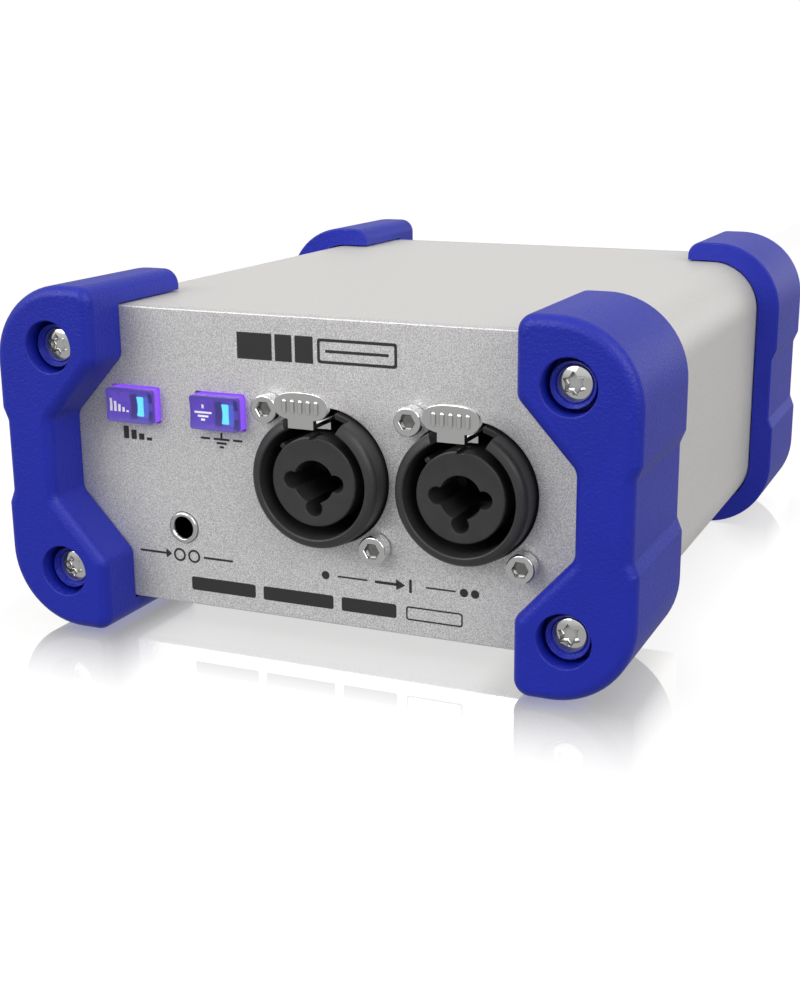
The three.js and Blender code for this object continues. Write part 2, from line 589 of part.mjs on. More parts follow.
const makeOutputShell = () => {
  const ring = turned([
    [CUP_R, CUP_Y],
    [11.1, CUP_Y],
    [SOCKET_RING_R, CUP_Y + 0.6],
    [SOCKET_RING_R, RING_REAR],
    [CUP_R, RING_REAR],
    [CUP_R, CUP_Y],
  ], 28);
  const shell = ring
    .add(flange())
    .add(box([-11.2, 11.2], [BEHIND_PANEL + 1, OUTPUT_REAR], [-12.4, 12.4]))
    .subtract(rodY([0, 0], CUP_R, [CUP_Y - 3, CUP_FLOOR], 28));
  const pinSpan = [CUP_FLOOR - OVERCUT, OUTPUT_REAR + OVERCUT];
  return drill(drillCapScrews(shell), PIN_SPOTS, OUTPUT_PIN_R + GAP, pinSpan, 8);
};
const makeOutputPin = () =>
  turned([
    [0, PIN_TIP_Y],
    [OUTPUT_PIN_R - 0.4, PIN_TIP_Y],
    [OUTPUT_PIN_R, PIN_TIP_Y + 0.6],
    [OUTPUT_PIN_R, PIN_REAR],
    [0, PIN_REAR],
  ], 8);

const outputShell = makeOutputShell();
const outputPin = makeOutputPin();
SIDES.forEach((side, i) => {
  const socketX = -OUTPUT_X[i];
  const place = (solid, x, z) => toRear(solid.translate([x, 0, z]));
  add(`output_socket_shell_${side}`, place(outputShell, socketX, SOCKET_Z), CHARCOAL);
  PIN_SPOTS.forEach(([x, z], k) =>
    add(`output_pin_${side}_${k + 1}`, place(outputPin, socketX + x, SOCKET_Z + z), GOLD),
  );
  capScrewSpots(socketX, SOCKET_Z).forEach(([x, z], k) =>
    add(`socket_screw_rear_${side}_${LEVELS[k]}`, place(capScrew, x, z), STEEL),
  );
});

// ----------------------------------------------------------- rear link jacks
const LINK_Y = PANEL_Y - 3.4, LINK_BORE_R = 3.3, LINK_FLOOR = -40, LINK_REAR = -38;
const NUT_R = 6.6, NUT_T = 2.4, NUT_SEAT = PANEL_Y - GAP; // radius to the nut's corners

const linkBody = () =>
  box([-7, 7], [BEHIND_PANEL, LINK_REAR], [-6, 6])
    .add(rodY([0, 0], LINK_NECK_R, [LINK_Y, BEHIND_PANEL + 1], 18))
    .subtract(rodY([0, 0], LINK_BORE_R, [LINK_Y - OVERCUT, LINK_FLOOR], 18));
const linkNut = () =>
  prismY(polar(6, () => NUT_R), [NUT_SEAT - NUT_T, NUT_SEAT])
    .subtract(rodY([0, 0], LINK_NECK_R + GAP, [NUT_SEAT - NUT_T - OVERCUT, PANEL_Y + 1], 18));

LEVELS.forEach((level, i) => {
  const at = [-LINK_X, 0, LINK_Z[i]];
  add(`link_jack_body_${level}`, toRear(linkBody().translate(at)), BLACK);
  add(`link_jack_nut_${level}`, toRear(linkNut().translate(at)), CHROME);
});

export default group;
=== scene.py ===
"""Looks of a direct injection box: fine meshes and procedural materials around the CAD frame.

+Z is up, the front faces -Y and +X is to the right seen from the front.  Shapes are
built in millimetres and scaled to metres in piece().  Builders measure heights (z) from
the case's centre plane and depths (y) from a datum 72 mm behind the front faces of the
guards.  Rear pieces are built as if at the front, then turned or mirrored to the rear.
"""
import json
import math

import bmesh
import bpy
from mathutils import Matrix, Vector

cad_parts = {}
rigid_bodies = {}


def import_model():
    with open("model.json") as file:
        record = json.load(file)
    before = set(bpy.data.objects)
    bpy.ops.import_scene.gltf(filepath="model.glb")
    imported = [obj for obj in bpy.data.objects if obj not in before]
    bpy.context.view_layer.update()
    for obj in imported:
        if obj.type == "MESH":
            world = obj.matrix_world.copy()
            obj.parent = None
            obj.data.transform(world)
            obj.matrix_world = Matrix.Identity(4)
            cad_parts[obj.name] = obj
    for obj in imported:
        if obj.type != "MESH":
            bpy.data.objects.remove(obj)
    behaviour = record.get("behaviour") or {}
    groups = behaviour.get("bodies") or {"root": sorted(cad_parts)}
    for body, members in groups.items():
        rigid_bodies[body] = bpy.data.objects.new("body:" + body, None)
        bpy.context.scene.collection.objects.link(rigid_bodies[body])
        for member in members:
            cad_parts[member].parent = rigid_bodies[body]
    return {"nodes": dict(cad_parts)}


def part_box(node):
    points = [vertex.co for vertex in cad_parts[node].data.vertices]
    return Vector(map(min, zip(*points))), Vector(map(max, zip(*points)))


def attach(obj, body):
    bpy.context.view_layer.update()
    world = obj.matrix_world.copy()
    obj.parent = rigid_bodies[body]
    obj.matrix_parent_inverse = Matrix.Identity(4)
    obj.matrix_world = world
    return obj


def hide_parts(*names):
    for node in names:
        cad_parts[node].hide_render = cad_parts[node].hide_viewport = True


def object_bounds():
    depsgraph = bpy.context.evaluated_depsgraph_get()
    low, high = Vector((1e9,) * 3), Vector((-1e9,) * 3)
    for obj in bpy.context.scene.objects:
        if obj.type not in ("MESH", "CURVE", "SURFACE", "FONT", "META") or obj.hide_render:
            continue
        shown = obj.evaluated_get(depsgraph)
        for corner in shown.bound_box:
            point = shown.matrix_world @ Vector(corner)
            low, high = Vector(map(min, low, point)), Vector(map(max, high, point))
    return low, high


for old in list(bpy.data.objects):
    bpy.data.objects.remove(old, do_unlink=True)

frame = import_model()
cad_lo, cad_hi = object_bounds()
scene = bpy.context.scene
MAIN = "box_body"

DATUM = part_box("bumper_front_right")[0][1] * 1000 + 72  # the datum's y, seen from the origin


# ------------------------------------------------------------ frame dimensions
def box_mm(node):
    lo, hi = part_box(node)
    lo, hi = [c * 1000 for c in lo], [c * 1000 for c in hi]
    lo[1] -= DATUM
    hi[1] -= DATUM
    return lo, hi


def place(node, sign=1):
    """Centre (x, z) of a node; sign -1 gives a rear node's place before the turn to the rear."""
    lo, hi = box_mm(node)
    return sign * (lo[0] + hi[0]) / 2, (lo[2] + hi[2]) / 2 - MID


def half_size(node):
    lo, hi = box_mm(node)
    return (hi[0] - lo[0]) / 2, (hi[2] - lo[2]) / 2


case_lo, case_hi = box_mm("case_shell")
MID = (case_lo[2] + case_hi[2]) / 2
CASE_HALF_X, CASE_HALF_Z = case_hi[0], case_hi[2] - MID
CASE_Y0, CASE_Y1 = case_lo[1], case_hi[1]
PANEL = box_mm("front_panel")[0][1]  # outer face of the front panel
PANEL_IN = box_mm("front_panel")[1][1]
THROUGH = (PANEL - 1, PANEL_IN + 1)  # depth range of cutters through the panel
MOUNT_Y = PANEL_IN + 0.3  # front of the sockets' flanges and of the jack bodies
guard_lo, guard_hi = box_mm("bumper_front_right")
SCREW_X, SCREW_Z = place("bumper_screw_front_right_upper")
SCREW_SPOTS = [(sx * SCREW_X, sz * SCREW_Z) for sx in (-1, 1) for sz in (-1, 1)]
SOCKETS = {s: place(f"input_socket_core_{s}") for s in ("left", "right")}
OUTPUTS = {s: place(f"output_socket_shell_{s}", -1) for s in ("left", "right")}
LINKS = {s: place(f"link_jack_nut_{s}", -1) for s in ("upper", "lower")}
BUTTONS = {s: place(f"{s}_button_cap") for s in ("pad", "lift")}
MINI = place("mini_jack_bush")
CAP_HALF_X, CAP_HALF_Z = half_size("pad_button_cap")
CAP_FRONT = box_mm("pad_button_cap")[0][1]


# ------------------------------------------------------------------ node nets
def operator(kind, swapped=False):
    """A Signal method that adds a Math node."""
    def method(self, *others):
        return self.net.math(kind, *((*others, self) if swapped else (self, *others)))
    return method


class Signal:
    """A node's output; arithmetic on it adds Math nodes."""

    def __init__(self, net, socket):
        self.net, self.socket = net, socket

    __add__ = operator("ADD")
    __sub__ = operator("SUBTRACT")
    __rsub__ = operator("SUBTRACT", swapped=True)
    __mul__ = operator("MULTIPLY")
    __truediv__ = operator("DIVIDE")
    __pow__ = operator("POWER")
    __abs__ = operator("ABSOLUTE")
    __gt__ = operator("GREATER_THAN")
    __lt__ = operator("LESS_THAN")
    at_least = operator("MAXIMUM")
    sqrt = operator("SQRT")

    def ramp(self, span=(0.0, 1.0), to=(0.0, 1.0), smooth=False):
        """Maps the range span onto the range to."""
        kind = "SMOOTHSTEP" if smooth else "LINEAR"
        inputs = {"Value": self, "From Min": span[0], "From Max": span[1],
                  "To Min": to[0], "To Max": to[1]}
        return self.net.node("MapRange", inputs, interpolation_type=kind)


class Net:
    """A small helper that builds the node tree of a material or a world."""

    def __init__(self, owner, output, surface, coord):
        owner.use_nodes = True
        self.tree = owner.node_tree
        self.tree.nodes.clear()
        out = self.add(output)
        self.surface = self.add(surface)
        self.tree.links.new(self.surface.outputs[0], out.inputs["Surface"])
        self.coord = self.node("TexCoord", output=coord)

    def add(self, kind, inputs=None, **props):
        node = self.tree.nodes.new("ShaderNode" + kind)
        for key, value in props.items():
            setattr(node, key, value)
        for key, value in (inputs or {}).items():
            self.put(node, key, value)
        return node

    def put(self, node, key, value):
        socket = node.inputs[key]
        if isinstance(value, Signal):
            self.tree.links.new(value.socket, socket)
        elif isinstance(value, tuple) and len(value) == 3 and socket.type == "RGBA":
            socket.default_value = (*value, 1)
        else:
            socket.default_value = value

    def outputs(self, kind, names, inputs=None, **props):
        node = self.add(kind, inputs, **props)
        return [Signal(self, node.outputs[name]) for name in names]

    def node(self, kind, inputs=None, output=0, **props):
        return self.outputs(kind, [output], inputs, **props)[0]

    def math(self, operation, *values):
        return self.node("Math", dict(enumerate(values)), operation=operation)

    def split(self, vector):
        return self.outputs("SeparateXYZ", (0, 1, 2), {0: vector})

    def stretched(self, scale):
        return self.node("Mapping", {"Vector": self.coord, "Scale": scale})

    def noise(self, size_mm, detail=2.0, rough=0.5, vector=None):
        inputs = {"Vector": vector or self.coord, "Scale": 1000.0 / size_mm,
                  "Detail": detail, "Roughness": rough}
        return self.node("TexNoise", inputs, "Fac")

    def mix(self, factor, low, high):
        """Colour low at factor 0, high at factor 1."""
        return self.node("Mix", {0: factor, 6: low, 7: high}, 2, data_type="RGBA")

    def bump(self, height, depth_mm, strength):
        inputs = {"Height": height, "Distance": depth_mm / 1000, "Strength": strength}
        return self.node("Bump", inputs)

    def recess(self, deep, bright, reach_mm):
        """Painted shade: a tone that falls off inside sockets and slots of the piece itself."""
        inputs = {"Distance": reach_mm / 1000}
        open_sky = self.node("AmbientOcclusion", inputs, "AO", samples=16, only_local=True)
        return open_sky.ramp(span=(0.35, 0.95), to=(deep, bright))

    def look(self, **values):
        """Sets inputs of the surface shader; underscores stand for spaces."""
        for key, value in values.items():
            self.put(self.surface, key.replace("_", " "), value)


def material(name, paint, surface="BsdfPrincipled", **options):
    made = bpy.data.materials.new(name)
    paint(Net(made, "OutputMaterial", surface, "Object"), **options)
    return made


# ------------------------------------------------------------------- materials
def paint_blue(net):
    """Pebbled moulding."""
    pebble = net.noise(size_mm=0.5, rough=0.6)
    fine = net.noise(size_mm=0.22, detail=1.0)
    cloud = net.noise(size_mm=14)
    colour = net.mix(cloud.ramp(span=(0.35, 0.65)),
                     low=(0.0062, 0.0160, 0.350), high=(0.0072, 0.0175, 0.380))
    colour = net.mix(pebble.ramp(span=(0.3, 0.75), to=(0, 0.35)),
                     colour, high=(0.009, 0.020, 0.40))
    # painted reflection: glossy rays that travel more than a few millimetres see the guard as a dark
    # grey-blue, so its mirror image in the floor is painted darker and greyer than the guard
    glossy, length = net.outputs("LightPath", ("Is Glossy Ray", "Ray Length"))
    painted_mirror_tint = glossy * length.ramp(span=(0.0005, 0.004))
    colour = net.mix(painted_mirror_tint, colour, high=(0.010, 0.012, 0.055))
    net.look(Base_Color=colour, Roughness=fine.ramp(span=(0.3, 0.7), to=(0.33, 0.46)),
             Specular_IOR_Level=0.38,
             Normal=net.bump(pebble + fine * 0.5, depth_mm=0.12, strength=0.85))


def paint_panel(net):
    grain = net.noise(size_mm=0.17, detail=1.2, rough=0.6)
    coarse = net.noise(size_mm=0.9)
    colour = net.mix(grain.ramp(span=(0.36, 0.64)),
                     low=(0.47, 0.465, 0.475), high=(0.90, 0.89, 0.895))
    colour = net.mix(coarse.ramp(span=(0.35, 0.7), to=(0, 0.08)),
                     colour, high=(0.93, 0.92, 0.92))
    net.look(Base_Color=colour, Metallic=0.45,
             Roughness=grain.ramp(span=(0.3, 0.7), to=(0.44, 0.34)),
             Normal=net.bump(grain, depth_mm=0.05, strength=0.85))


def paint_case(net):
    """Aluminium with faint lines along the case's depth."""
    grain = net.noise(size_mm=0.3, detail=1.5, rough=0.6)
    lines = net.noise(size_mm=0.5, vector=net.stretched((1.0, 0.06, 1.0)))
    colour = net.mix(grain.ramp(span=(0.3, 0.7)),
                     low=(0.70, 0.69, 0.68), high=(0.78, 0.77, 0.755))
    colour = net.mix(lines.ramp(span=(0.4, 0.7), to=(0, 0.12)),
                     colour, high=(0.66, 0.65, 0.64))
    net.look(Base_Color=colour, Metallic=0.45,
             Roughness=grain.ramp(span=(0.3, 0.7), to=(0.5, 0.42)),
             Normal=net.bump(grain, depth_mm=0.02, strength=0.35))


def paint_charcoal(net):
    grain = net.noise(size_mm=0.35, rough=0.6)
    colour = net.mix(net.noise(size_mm=3.0).ramp(span=(0.35, 0.65)),
                     low=(0.030, 0.030, 0.031), high=(0.036, 0.036, 0.037))
    net.look(Base_Color=colour, Roughness=grain.ramp(span=(0.3, 0.7), to=(0.46, 0.38)),
             Normal=net.bump(grain, depth_mm=0.018, strength=0.6))


def paint_chrome(net, deep, reach_mm):
    wear = net.noise(size_mm=0.8, detail=3.0, rough=0.6)
    # painted shade: the base colour darkens in the piece's own recesses
    net.look(Base_Color=net.recess(deep=deep, bright=0.93, reach_mm=reach_mm), Metallic=1.0,
             Roughness=wear.ramp(span=(0.35, 0.7), to=(0.05, 0.12)),
             Normal=net.bump(wear, depth_mm=0.006, strength=0.35))


def paint_steel(net, bore=None):
    """Brushed steel with painted shade in its own recesses, and painted black as shade inside bore:
    the (x, z, radius) of an axis along y.
    """
    lines = net.noise(size_mm=0.12, rough=0.6, vector=net.stretched((0.08, 1.0, 1.0)))
    tone = net.recess(deep=0.3, bright=0.85, reach_mm=1.2)
    if bore:
        bore_x, bore_z, radius = (value / 1000 for value in bore)
        edge = 0.00018  # width of the change from black to bright
        x, _, z = net.split(net.coord)
        off_x = x - bore_x
        off_z = z - bore_z
        out = (off_x * off_x + off_z * off_z).sqrt()
        tone = tone * out.ramp(span=(radius, radius + edge), to=(0.02, 1.0))
    net.look(Base_Color=tone, Metallic=1.0,
             Roughness=lines.ramp(span=(0.3, 0.7), to=(0.14, 0.22)),
             Normal=net.bump(lines, depth_mm=0.004, strength=0.3))


def paint_ink(net):
    colour = net.mix(net.noise(size_mm=0.3), low=(0.017, 0.017, 0.017),
                     high=(0.024, 0.024, 0.024))
    net.look(Base_Color=colour, Roughness=0.55)


def paint_ink_white(net):
    colour = net.mix(net.noise(size_mm=0.2), low=(0.75, 0.73, 0.82), high=(0.82, 0.8, 0.9))
    # painted glow: a faint emission brightens the white print
    net.look(Base_Color=colour, Roughness=0.5,
             Emission_Color=(0.72, 0.70, 0.88), Emission_Strength=0.16)


def paint_board(net):
    tracks = net.node("TexVoronoi", {"Vector": net.coord, "Scale": 260.0}, "Distance",
                      feature="DISTANCE_TO_EDGE", distance="MANHATTAN")
    line = tracks.ramp(span=(0.03, 0.06))
    net.look(Base_Color=net.mix(line, low=(0.03, 0.16, 0.07), high=(0.012, 0.085, 0.035)),
             Roughness=line.ramp(to=(0.28, 0.42)),
             Normal=net.bump(line, depth_mm=0.03, strength=0.4))


def paint_black(net):
    grain = net.noise(size_mm=0.4)
    net.look(Base_Color=net.mix(grain, low=(0.008, 0.008, 0.009), high=(0.014, 0.014, 0.015)),
             Roughness=grain.ramp(span=(0.3, 0.7), to=(0.5, 0.62)),
             Normal=net.bump(grain, depth_mm=0.02, strength=0.4))


def paint_gold(net):
    grain = net.noise(size_mm=0.3)
    net.look(Base_Color=net.mix(grain, low=(0.72, 0.46, 0.16), high=(0.82, 0.56, 0.22)),
             Metallic=1.0, Roughness=grain.ramp(span=(0.3, 0.7), to=(0.16, 0.26)))


def paint_window(net):
    core = net.noise(size_mm=1.5, detail=1.0)
    glow = net.mix(core.ramp(span=(0.3, 0.7)), low=(0.13, 0.68, 0.97), high=(0.16, 0.75, 1.0))
    # painted glow: emission gives the cyan window its bright look, though it is no lamp
    net.look(Base_Color=(0.02, 0.1, 0.14), Roughness=0.25,
             Emission_Color=glow, Emission_Strength=1.0)


# painted glow and shade round the light window: soft rectangles laid over each other on the cap's
# face, millimetres from its centre:
# (x from, x to, half height, softness, strength, colour)
CAP_GLOW_AND_SHADE = [
    (0.7, 4.3, 2.45, 0.4, 0.75, (0.078, 0.066, 0.36)),
    (0.2, 1.7, 2.2, 0.3, 0.95, (0.036, 0.034, 0.125)),
    (2.5, 3.9, 1.85, 0.3, 0.95, (0.078, 0.15, 0.64)),
]


def paint_button(net, centre):
    """Violet translucent cap drawn with painted glow: bright rear edges, a darker painted frame
    round the light window.
    """
    x, y, z = net.split(net.coord)
    x = (x - centre[0] / 1000) * 1000.0
    z = (z - (centre[1] + MID) / 1000) * 1000.0
    deep = (y - (CAP_FRONT + DATUM) / 1000) * 1000.0
    tall = abs(z)

    def patch(x0, x1, half_z, soft):
        inside_x = (x1 - x0) / 2 - abs(x - (x0 + x1) / 2)
        inside_z = half_z - tall
        span = (-soft, soft)
        return inside_x.ramp(span=span, smooth=True) * inside_z.ramp(span=span, smooth=True)

    # painted light: facets that turn away from the front take the brighter rim colour
    facing = net.split(net.node("NewGeometry", output="True Normal"))[1]
    side = (facing * -1.0).ramp(span=(0.45, 0.8), to=(1.0, 0.0), smooth=True)
    cloud = net.noise(size_mm=2.2, detail=1.0)
    glow = net.mix(cloud.ramp(span=(0.35, 0.65)),
                   low=(0.098, 0.058, 0.41), high=(0.128, 0.068, 0.52))
    # painted shade: the glow darkens towards the edges of the face
    middle = (abs(x).ramp(span=(CAP_HALF_X - 1.5, CAP_HALF_X), to=(1, 0), smooth=True)
              * tall.ramp(span=(CAP_HALF_Z - 1.0, CAP_HALF_Z), to=(1, 0), smooth=True))
    glow = net.mix(middle, low=(0.080, 0.058, 0.36), high=glow)
    for *shape, strength, colour in CAP_GLOW_AND_SHADE:
        glow = net.mix(patch(*shape) * strength, glow, colour)
    # two short dark bars to the right of the window, above and below its middle
    bars = x.ramp(span=(3.8, 4.15), smooth=True) * (
        tall.ramp(span=(0.55, 0.95), smooth=True) * tall.ramp(span=(2.3, 2.9), to=(1, 0)))
    bar_strength = 0.95
    glow = net.mix(bars * bar_strength, glow, high=(0.026, 0.024, 0.115))
    # painted glow on the sides, brighter further back
    rim = net.mix(deep.ramp(span=(0.85, 1.5), smooth=True),
                  low=(0.055, 0.042, 0.27), high=(0.285, 0.100, 0.95))
    glow = net.mix(side, glow, rim)
    # the painted glow is stronger to the camera than in the light it casts; the sides also get a
    # lighter base colour
    camera_ray = net.node("LightPath", output="Is Camera Ray")
    net.look(Base_Color=net.mix(side, low=(0.03, 0.02, 0.12), high=(0.06, 0.02, 0.2)),
             Roughness=cloud.ramp(span=(0.3, 0.7), to=(0.22, 0.32)),
             Specular_IOR_Level=0.26, Emission_Color=glow,
             Emission_Strength=camera_ray.ramp(to=(0.42, 0.86)),
             Normal=net.bump(net.noise(size_mm=1.2, detail=1.0), depth_mm=0.01, strength=0.3))


MAT = {
    "bumper_blue": material("moulded_blue", paint_blue),
    "panel_silver": material("panel_silver", paint_panel),
    "case_aluminium": material("case_aluminium", paint_case),
    "socket_charcoal": material("socket_charcoal", paint_charcoal),
    "screw_chrome": material("screw_chrome", paint_chrome, deep=0.5, reach_mm=1.0),
    "cap_chrome": material("cap_chrome", paint_chrome, deep=0.18, reach_mm=2.0),
    "tab_chrome": material("tab_chrome", paint_chrome, deep=0.45, reach_mm=0.8),
    "bright_steel": material("bright_steel", paint_steel),
    "circuit_board": material("circuit_board", paint_board),
    "inner_black": material("inner_black", paint_black),
    "contact_gold": material("contact_gold", paint_gold),
    "lens_cyan": material("lens_cyan", paint_window),
}
INK = material("printed_ink", paint_ink)
INK_WHITE = material("printed_white", paint_ink_white)


# -------------------------------------------------------------------- outlines
def rounded(corners, inset=0.0, seg=8):
    """Counter-clockwise corners (x, z, radius) as an outline, moved inwards by inset.
    The count of points doesn't depend on the inset, so outlines can be joined ring to ring."""
    outline = []
    for i, (x, z, radius) in enumerate(corners):
        corner = Vector((x, z))
        before = (corner - Vector(corners[i - 1][:2])).normalized()
        after = (Vector(corners[(i + 1) % len(corners)][:2]) - corner).normalized()
        normal0, normal1 = Vector((-before.y, before.x)), Vector((-after.y, after.x))
        cross = before.x * after.y - before.y * after.x
        turn = math.atan2(cross, before.dot(after))
        corner = corner + (normal0 + normal1) * (inset / (1 + normal0.dot(normal1)))
        radius = max(radius - inset if cross > 0 else radius + inset, 0.02)
        count = max(2, math.ceil(abs(turn) / (math.pi / 2) * seg))
        start = corner - before * (radius * math.tan(abs(turn) / 2))
        centre = start + normal0 * (radius if cross > 0 else -radius)
        arm = start - centre
        for k in range(count + 1):
            angle = turn * k / count
            cos, sin = math.cos(angle), math.sin(angle)
            outline.append((centre.x + arm.x * cos - arm.y * sin,
                            centre.y + arm.x * sin + arm.y * cos))
    return outline


def round_rect(half_x, half_z, r, x=0.0, z=0.0):
    return [(x + half_x, z + half_z, r), (x - half_x, z + half_z, r),
            (x - half_x, z - half_z, r), (x + half_x, z - half_z, r)]


def circle(radius, count, x=0.0, z=0.0):
    angles = [2 * math.pi * k / count for k in range(count)]
    return [(x + radius * math.cos(a), z + radius * math.sin(a)) for a in angles]


def arc(centre_r, centre_y, radius, start, end, steps):
    """Points (radius, y) of a profile; angles in degrees, 0 outwards, 90 rearwards."""
    angles = [math.radians(start + (end - start) * k / steps) for k in range(steps + 1)]
    return [(centre_r + radius * math.cos(a), centre_y + radius * math.sin(a)) for a in angles]


def at_depth(points, y):
    return [(x, y, z + MID) for x, z in points]


# -------------------------------------------------------------- mesh builders
def link_object(mesh, name="work"):
    obj = bpy.data.objects.new(name, mesh)
    scene.collection.objects.link(obj)
    return obj


def new_object(verts, faces):
    mesh = bpy.data.meshes.new("work")
    mesh.from_pydata(verts, [], faces)
    bm = bmesh.new()
    bm.from_mesh(mesh)
    bmesh.ops.remove_doubles(bm, verts=bm.verts, dist=1e-5)
    bmesh.ops.recalc_face_normals(bm, faces=bm.faces)
    bm.to_mesh(mesh)
    bm.free()
    return link_object(mesh)


def from_rings(rings, loop=False):
    """Rings of equal count joined in order, then capped, or closed on themselves as a loop."""
    n, count = len(rings[0]), len(rings)
    verts = [v for ring in rings for v in ring]
    faces = []
    for a in range(count if loop else count - 1):
        b = (a + 1) % count
        for i in range(n):
            j = (i + 1) % n
            faces.append((a * n + i, a * n + j, b * n + j, b * n + i))
    if not loop:
        faces.append(tuple(range(n)))
        faces.append(tuple(reversed(range((count - 1) * n, count * n))))
    return new_object(verts, faces)


def loft(points, depths):
    """An outline (x, z) drawn between depths."""
    return from_rings([at_depth(points, y) for y in depths])


def prism_x(points, x0, x1):
    """An outline (y, z) drawn along x."""
    return from_rings([[(x, y, z + MID) for y, z in points] for x in (x0, x1)])


def slab(corners, y0, y1, front=0.0, rear=0.0, seg=8, steps=5):
    """Rounded corners drawn out along y; front and rear are the edges' radii."""
    quarter = [math.pi / 2 * k / steps for k in range(steps + 1)]
    stations = [(0, y0)]  # (inset, y)
    if front:
        stations = [(front * (1 - math.sin(a)), y0 + front * (1 - math.cos(a))) for a in quarter]
    if rear:
        stations += [(rear * (1 - math.cos(a)), y1 - rear * (1 - math.sin(a))) for a in quarter]
    else:
        stations.append((0, y1))
    return from_rings([at_depth(rounded(corners, inset, seg), y) for inset, y in stations])


def revolve(profile, x=0.0, z=0.0, seg=72):
    """A profile (radius, y) turned about an axis along y.
    It starts and ends on the axis, or closes on itself."""
    verts, rows = [], []
    for radius, y in profile:
        if radius < 1e-6:
            rows.append([len(verts)] * seg)
            verts.append((x, y, z + MID))
        else:
            rows.append([len(verts) + k for k in range(seg)])
            verts += [(px, y, pz) for px, pz in circle(radius, seg, x, z + MID)]
    closed = profile[0][0] > 1e-6
    faces = []
    for a in range(len(rows) if closed else len(rows) - 1):
        row, following = rows[a], rows[(a + 1) % len(rows)]
        for i in range(seg):
            j = (i + 1) % seg
            face = list(dict.fromkeys((row[i], row[j], following[j], following[i])))
            if len(face) > 2:
                faces.append(tuple(face))
    return new_object(verts, faces)


def rod(x, z, r, y0, y1, seg=48):
    return revolve([(0, y0), (r, y0), (r, y1), (0, y1)], x, z, seg)


def rod_x(y, z, r, x0, x1, seg=32):
    return prism_x(circle(r, seg, y, z), x0, x1)


def block(x0, x1, y0, y1, z0, z1, bevel=0.0):
    bm = bmesh.new()
    bmesh.ops.create_cube(bm, size=1.0)
    for v in bm.verts:
        v.co = Vector(((x0 + x1) / 2 + v.co.x * (x1 - x0),
                       (y0 + y1) / 2 + v.co.y * (y1 - y0),
                       MID + (z0 + z1) / 2 + v.co.z * (z1 - z0)))
    if bevel:
        bmesh.ops.bevel(bm, geom=bm.edges[:], offset=bevel, segments=2, profile=0.5,
                        affect="EDGES")
    mesh = bpy.data.meshes.new("work")
    bm.to_mesh(mesh)
    bm.free()
    return link_object(mesh)


# ----------------------------------------------------------- work on finished shapes
def discard(*objs):
    for obj in objs:
        bpy.data.objects.remove(obj)


def join(*objs):
    bm = bmesh.new()
    for obj in objs:
        bm.from_mesh(obj.data)
    bm.to_mesh(objs[0].data)
    bm.free()
    discard(*objs[1:])
    return objs[0]


def boolean(obj, tool, operation):
    mod = obj.modifiers.new("cut", "BOOLEAN")
    mod.operation, mod.solver, mod.object = operation, "EXACT", tool
    depsgraph = bpy.context.evaluated_depsgraph_get()
    mesh = bpy.data.meshes.new_from_object(obj.evaluated_get(depsgraph))
    obj.modifiers.clear()
    obj.data = mesh
    discard(tool)
    return obj


def cut(obj, *tools):
    """Cuts all the tools away at once."""
    return boolean(obj, join(*tools) if len(tools) > 1 else tools[0], "DIFFERENCE")


def fuse(obj, *parts):
    for part in parts:
        obj = boolean(obj, part, "UNION")
    return obj


def moved(obj, matrix):
    obj.data.transform(matrix)
    if matrix.determinant() < 0:
        obj.data.flip_normals()
    return obj


def clone(obj):
    return link_object(obj.data.copy())


STAY = Matrix.Identity(4)
FLIP_X = Matrix.Diagonal((-1, 1, 1, 1))
# the origin lies -DATUM from the datum: a mirror and a half turn about it
TO_ORIGIN = Matrix.Translation((0, -2 * DATUM, 0))
FLIP_Y = TO_ORIGIN @ Matrix.Diagonal((1, -1, 1, 1))
TO_REAR = TO_ORIGIN @ Matrix.Rotation(math.pi, 4, "Z")


def copy_at(obj, spot, turn=STAY):
    """A copy moved to (x, z), then turned."""
    return moved(moved(clone(obj), Matrix.Translation((spot[0], 0, spot[1]))), turn)


def piece(obj, name, slot, node=None, angle=32, look=None, body=MAIN):
    """Scales a finished shape to metres, shades it and ties it to its CAD body."""
    mesh = obj.data
    mesh.transform(Matrix.Scale(0.001, 4) @ Matrix.Translation((0, DATUM, 0)))
    obj.name = mesh.name = name
    mesh.materials.clear()
    mesh.materials.append(look or MAT[slot])
    mesh.polygons.foreach_set("material_index", [0] * len(mesh.polygons))
    mesh.polygons.foreach_set("use_smooth", [True] * len(mesh.polygons))
    mesh.set_sharp_from_angle(angle=math.radians(angle))
    mesh.update()
    weighted = obj.modifiers.new("weighted", "WEIGHTED_NORMAL")
    weighted.keep_sharp = True
    weighted.weight = 60
    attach(obj, body)
    if node:
        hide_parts(node)


# ---------------------------------------------------------------------- guards
GUARD_X0, GUARD_X1 = guard_lo[0], guard_hi[0]
GUARD_Y0, GUARD_Y1 = guard_lo[1], guard_hi[1]
GUARD_H = guard_hi[2] - MID
GRIP_X = GUARD_X1 - 0.95  # floor of the shallow hollow in the outer side
NECK_X = 48.2  # inner side at mid height
# right guard seen from the front: (x, z, corner radius)
GUARD_OUTLINE = [
    (GUARD_X0, GUARD_H, 2.9), (GUARD_X0, 17.9, 2.5), (NECK_X, 7.1, 2.5),
    (NECK_X, -7.1, 2.5), (GUARD_X0, -17.9, 2.5), (GUARD_X0, -GUARD_H, 2.9),
    (GUARD_X1, -GUARD_H, 14), (GUARD_X1, -8.7, 1.4), (GRIP_X, -6.4, 1.4),
    (GRIP_X, 6.4, 1.4), (GUARD_X1, 8.7, 1.4), (GUARD_X1, GUARD_H, 14),
]


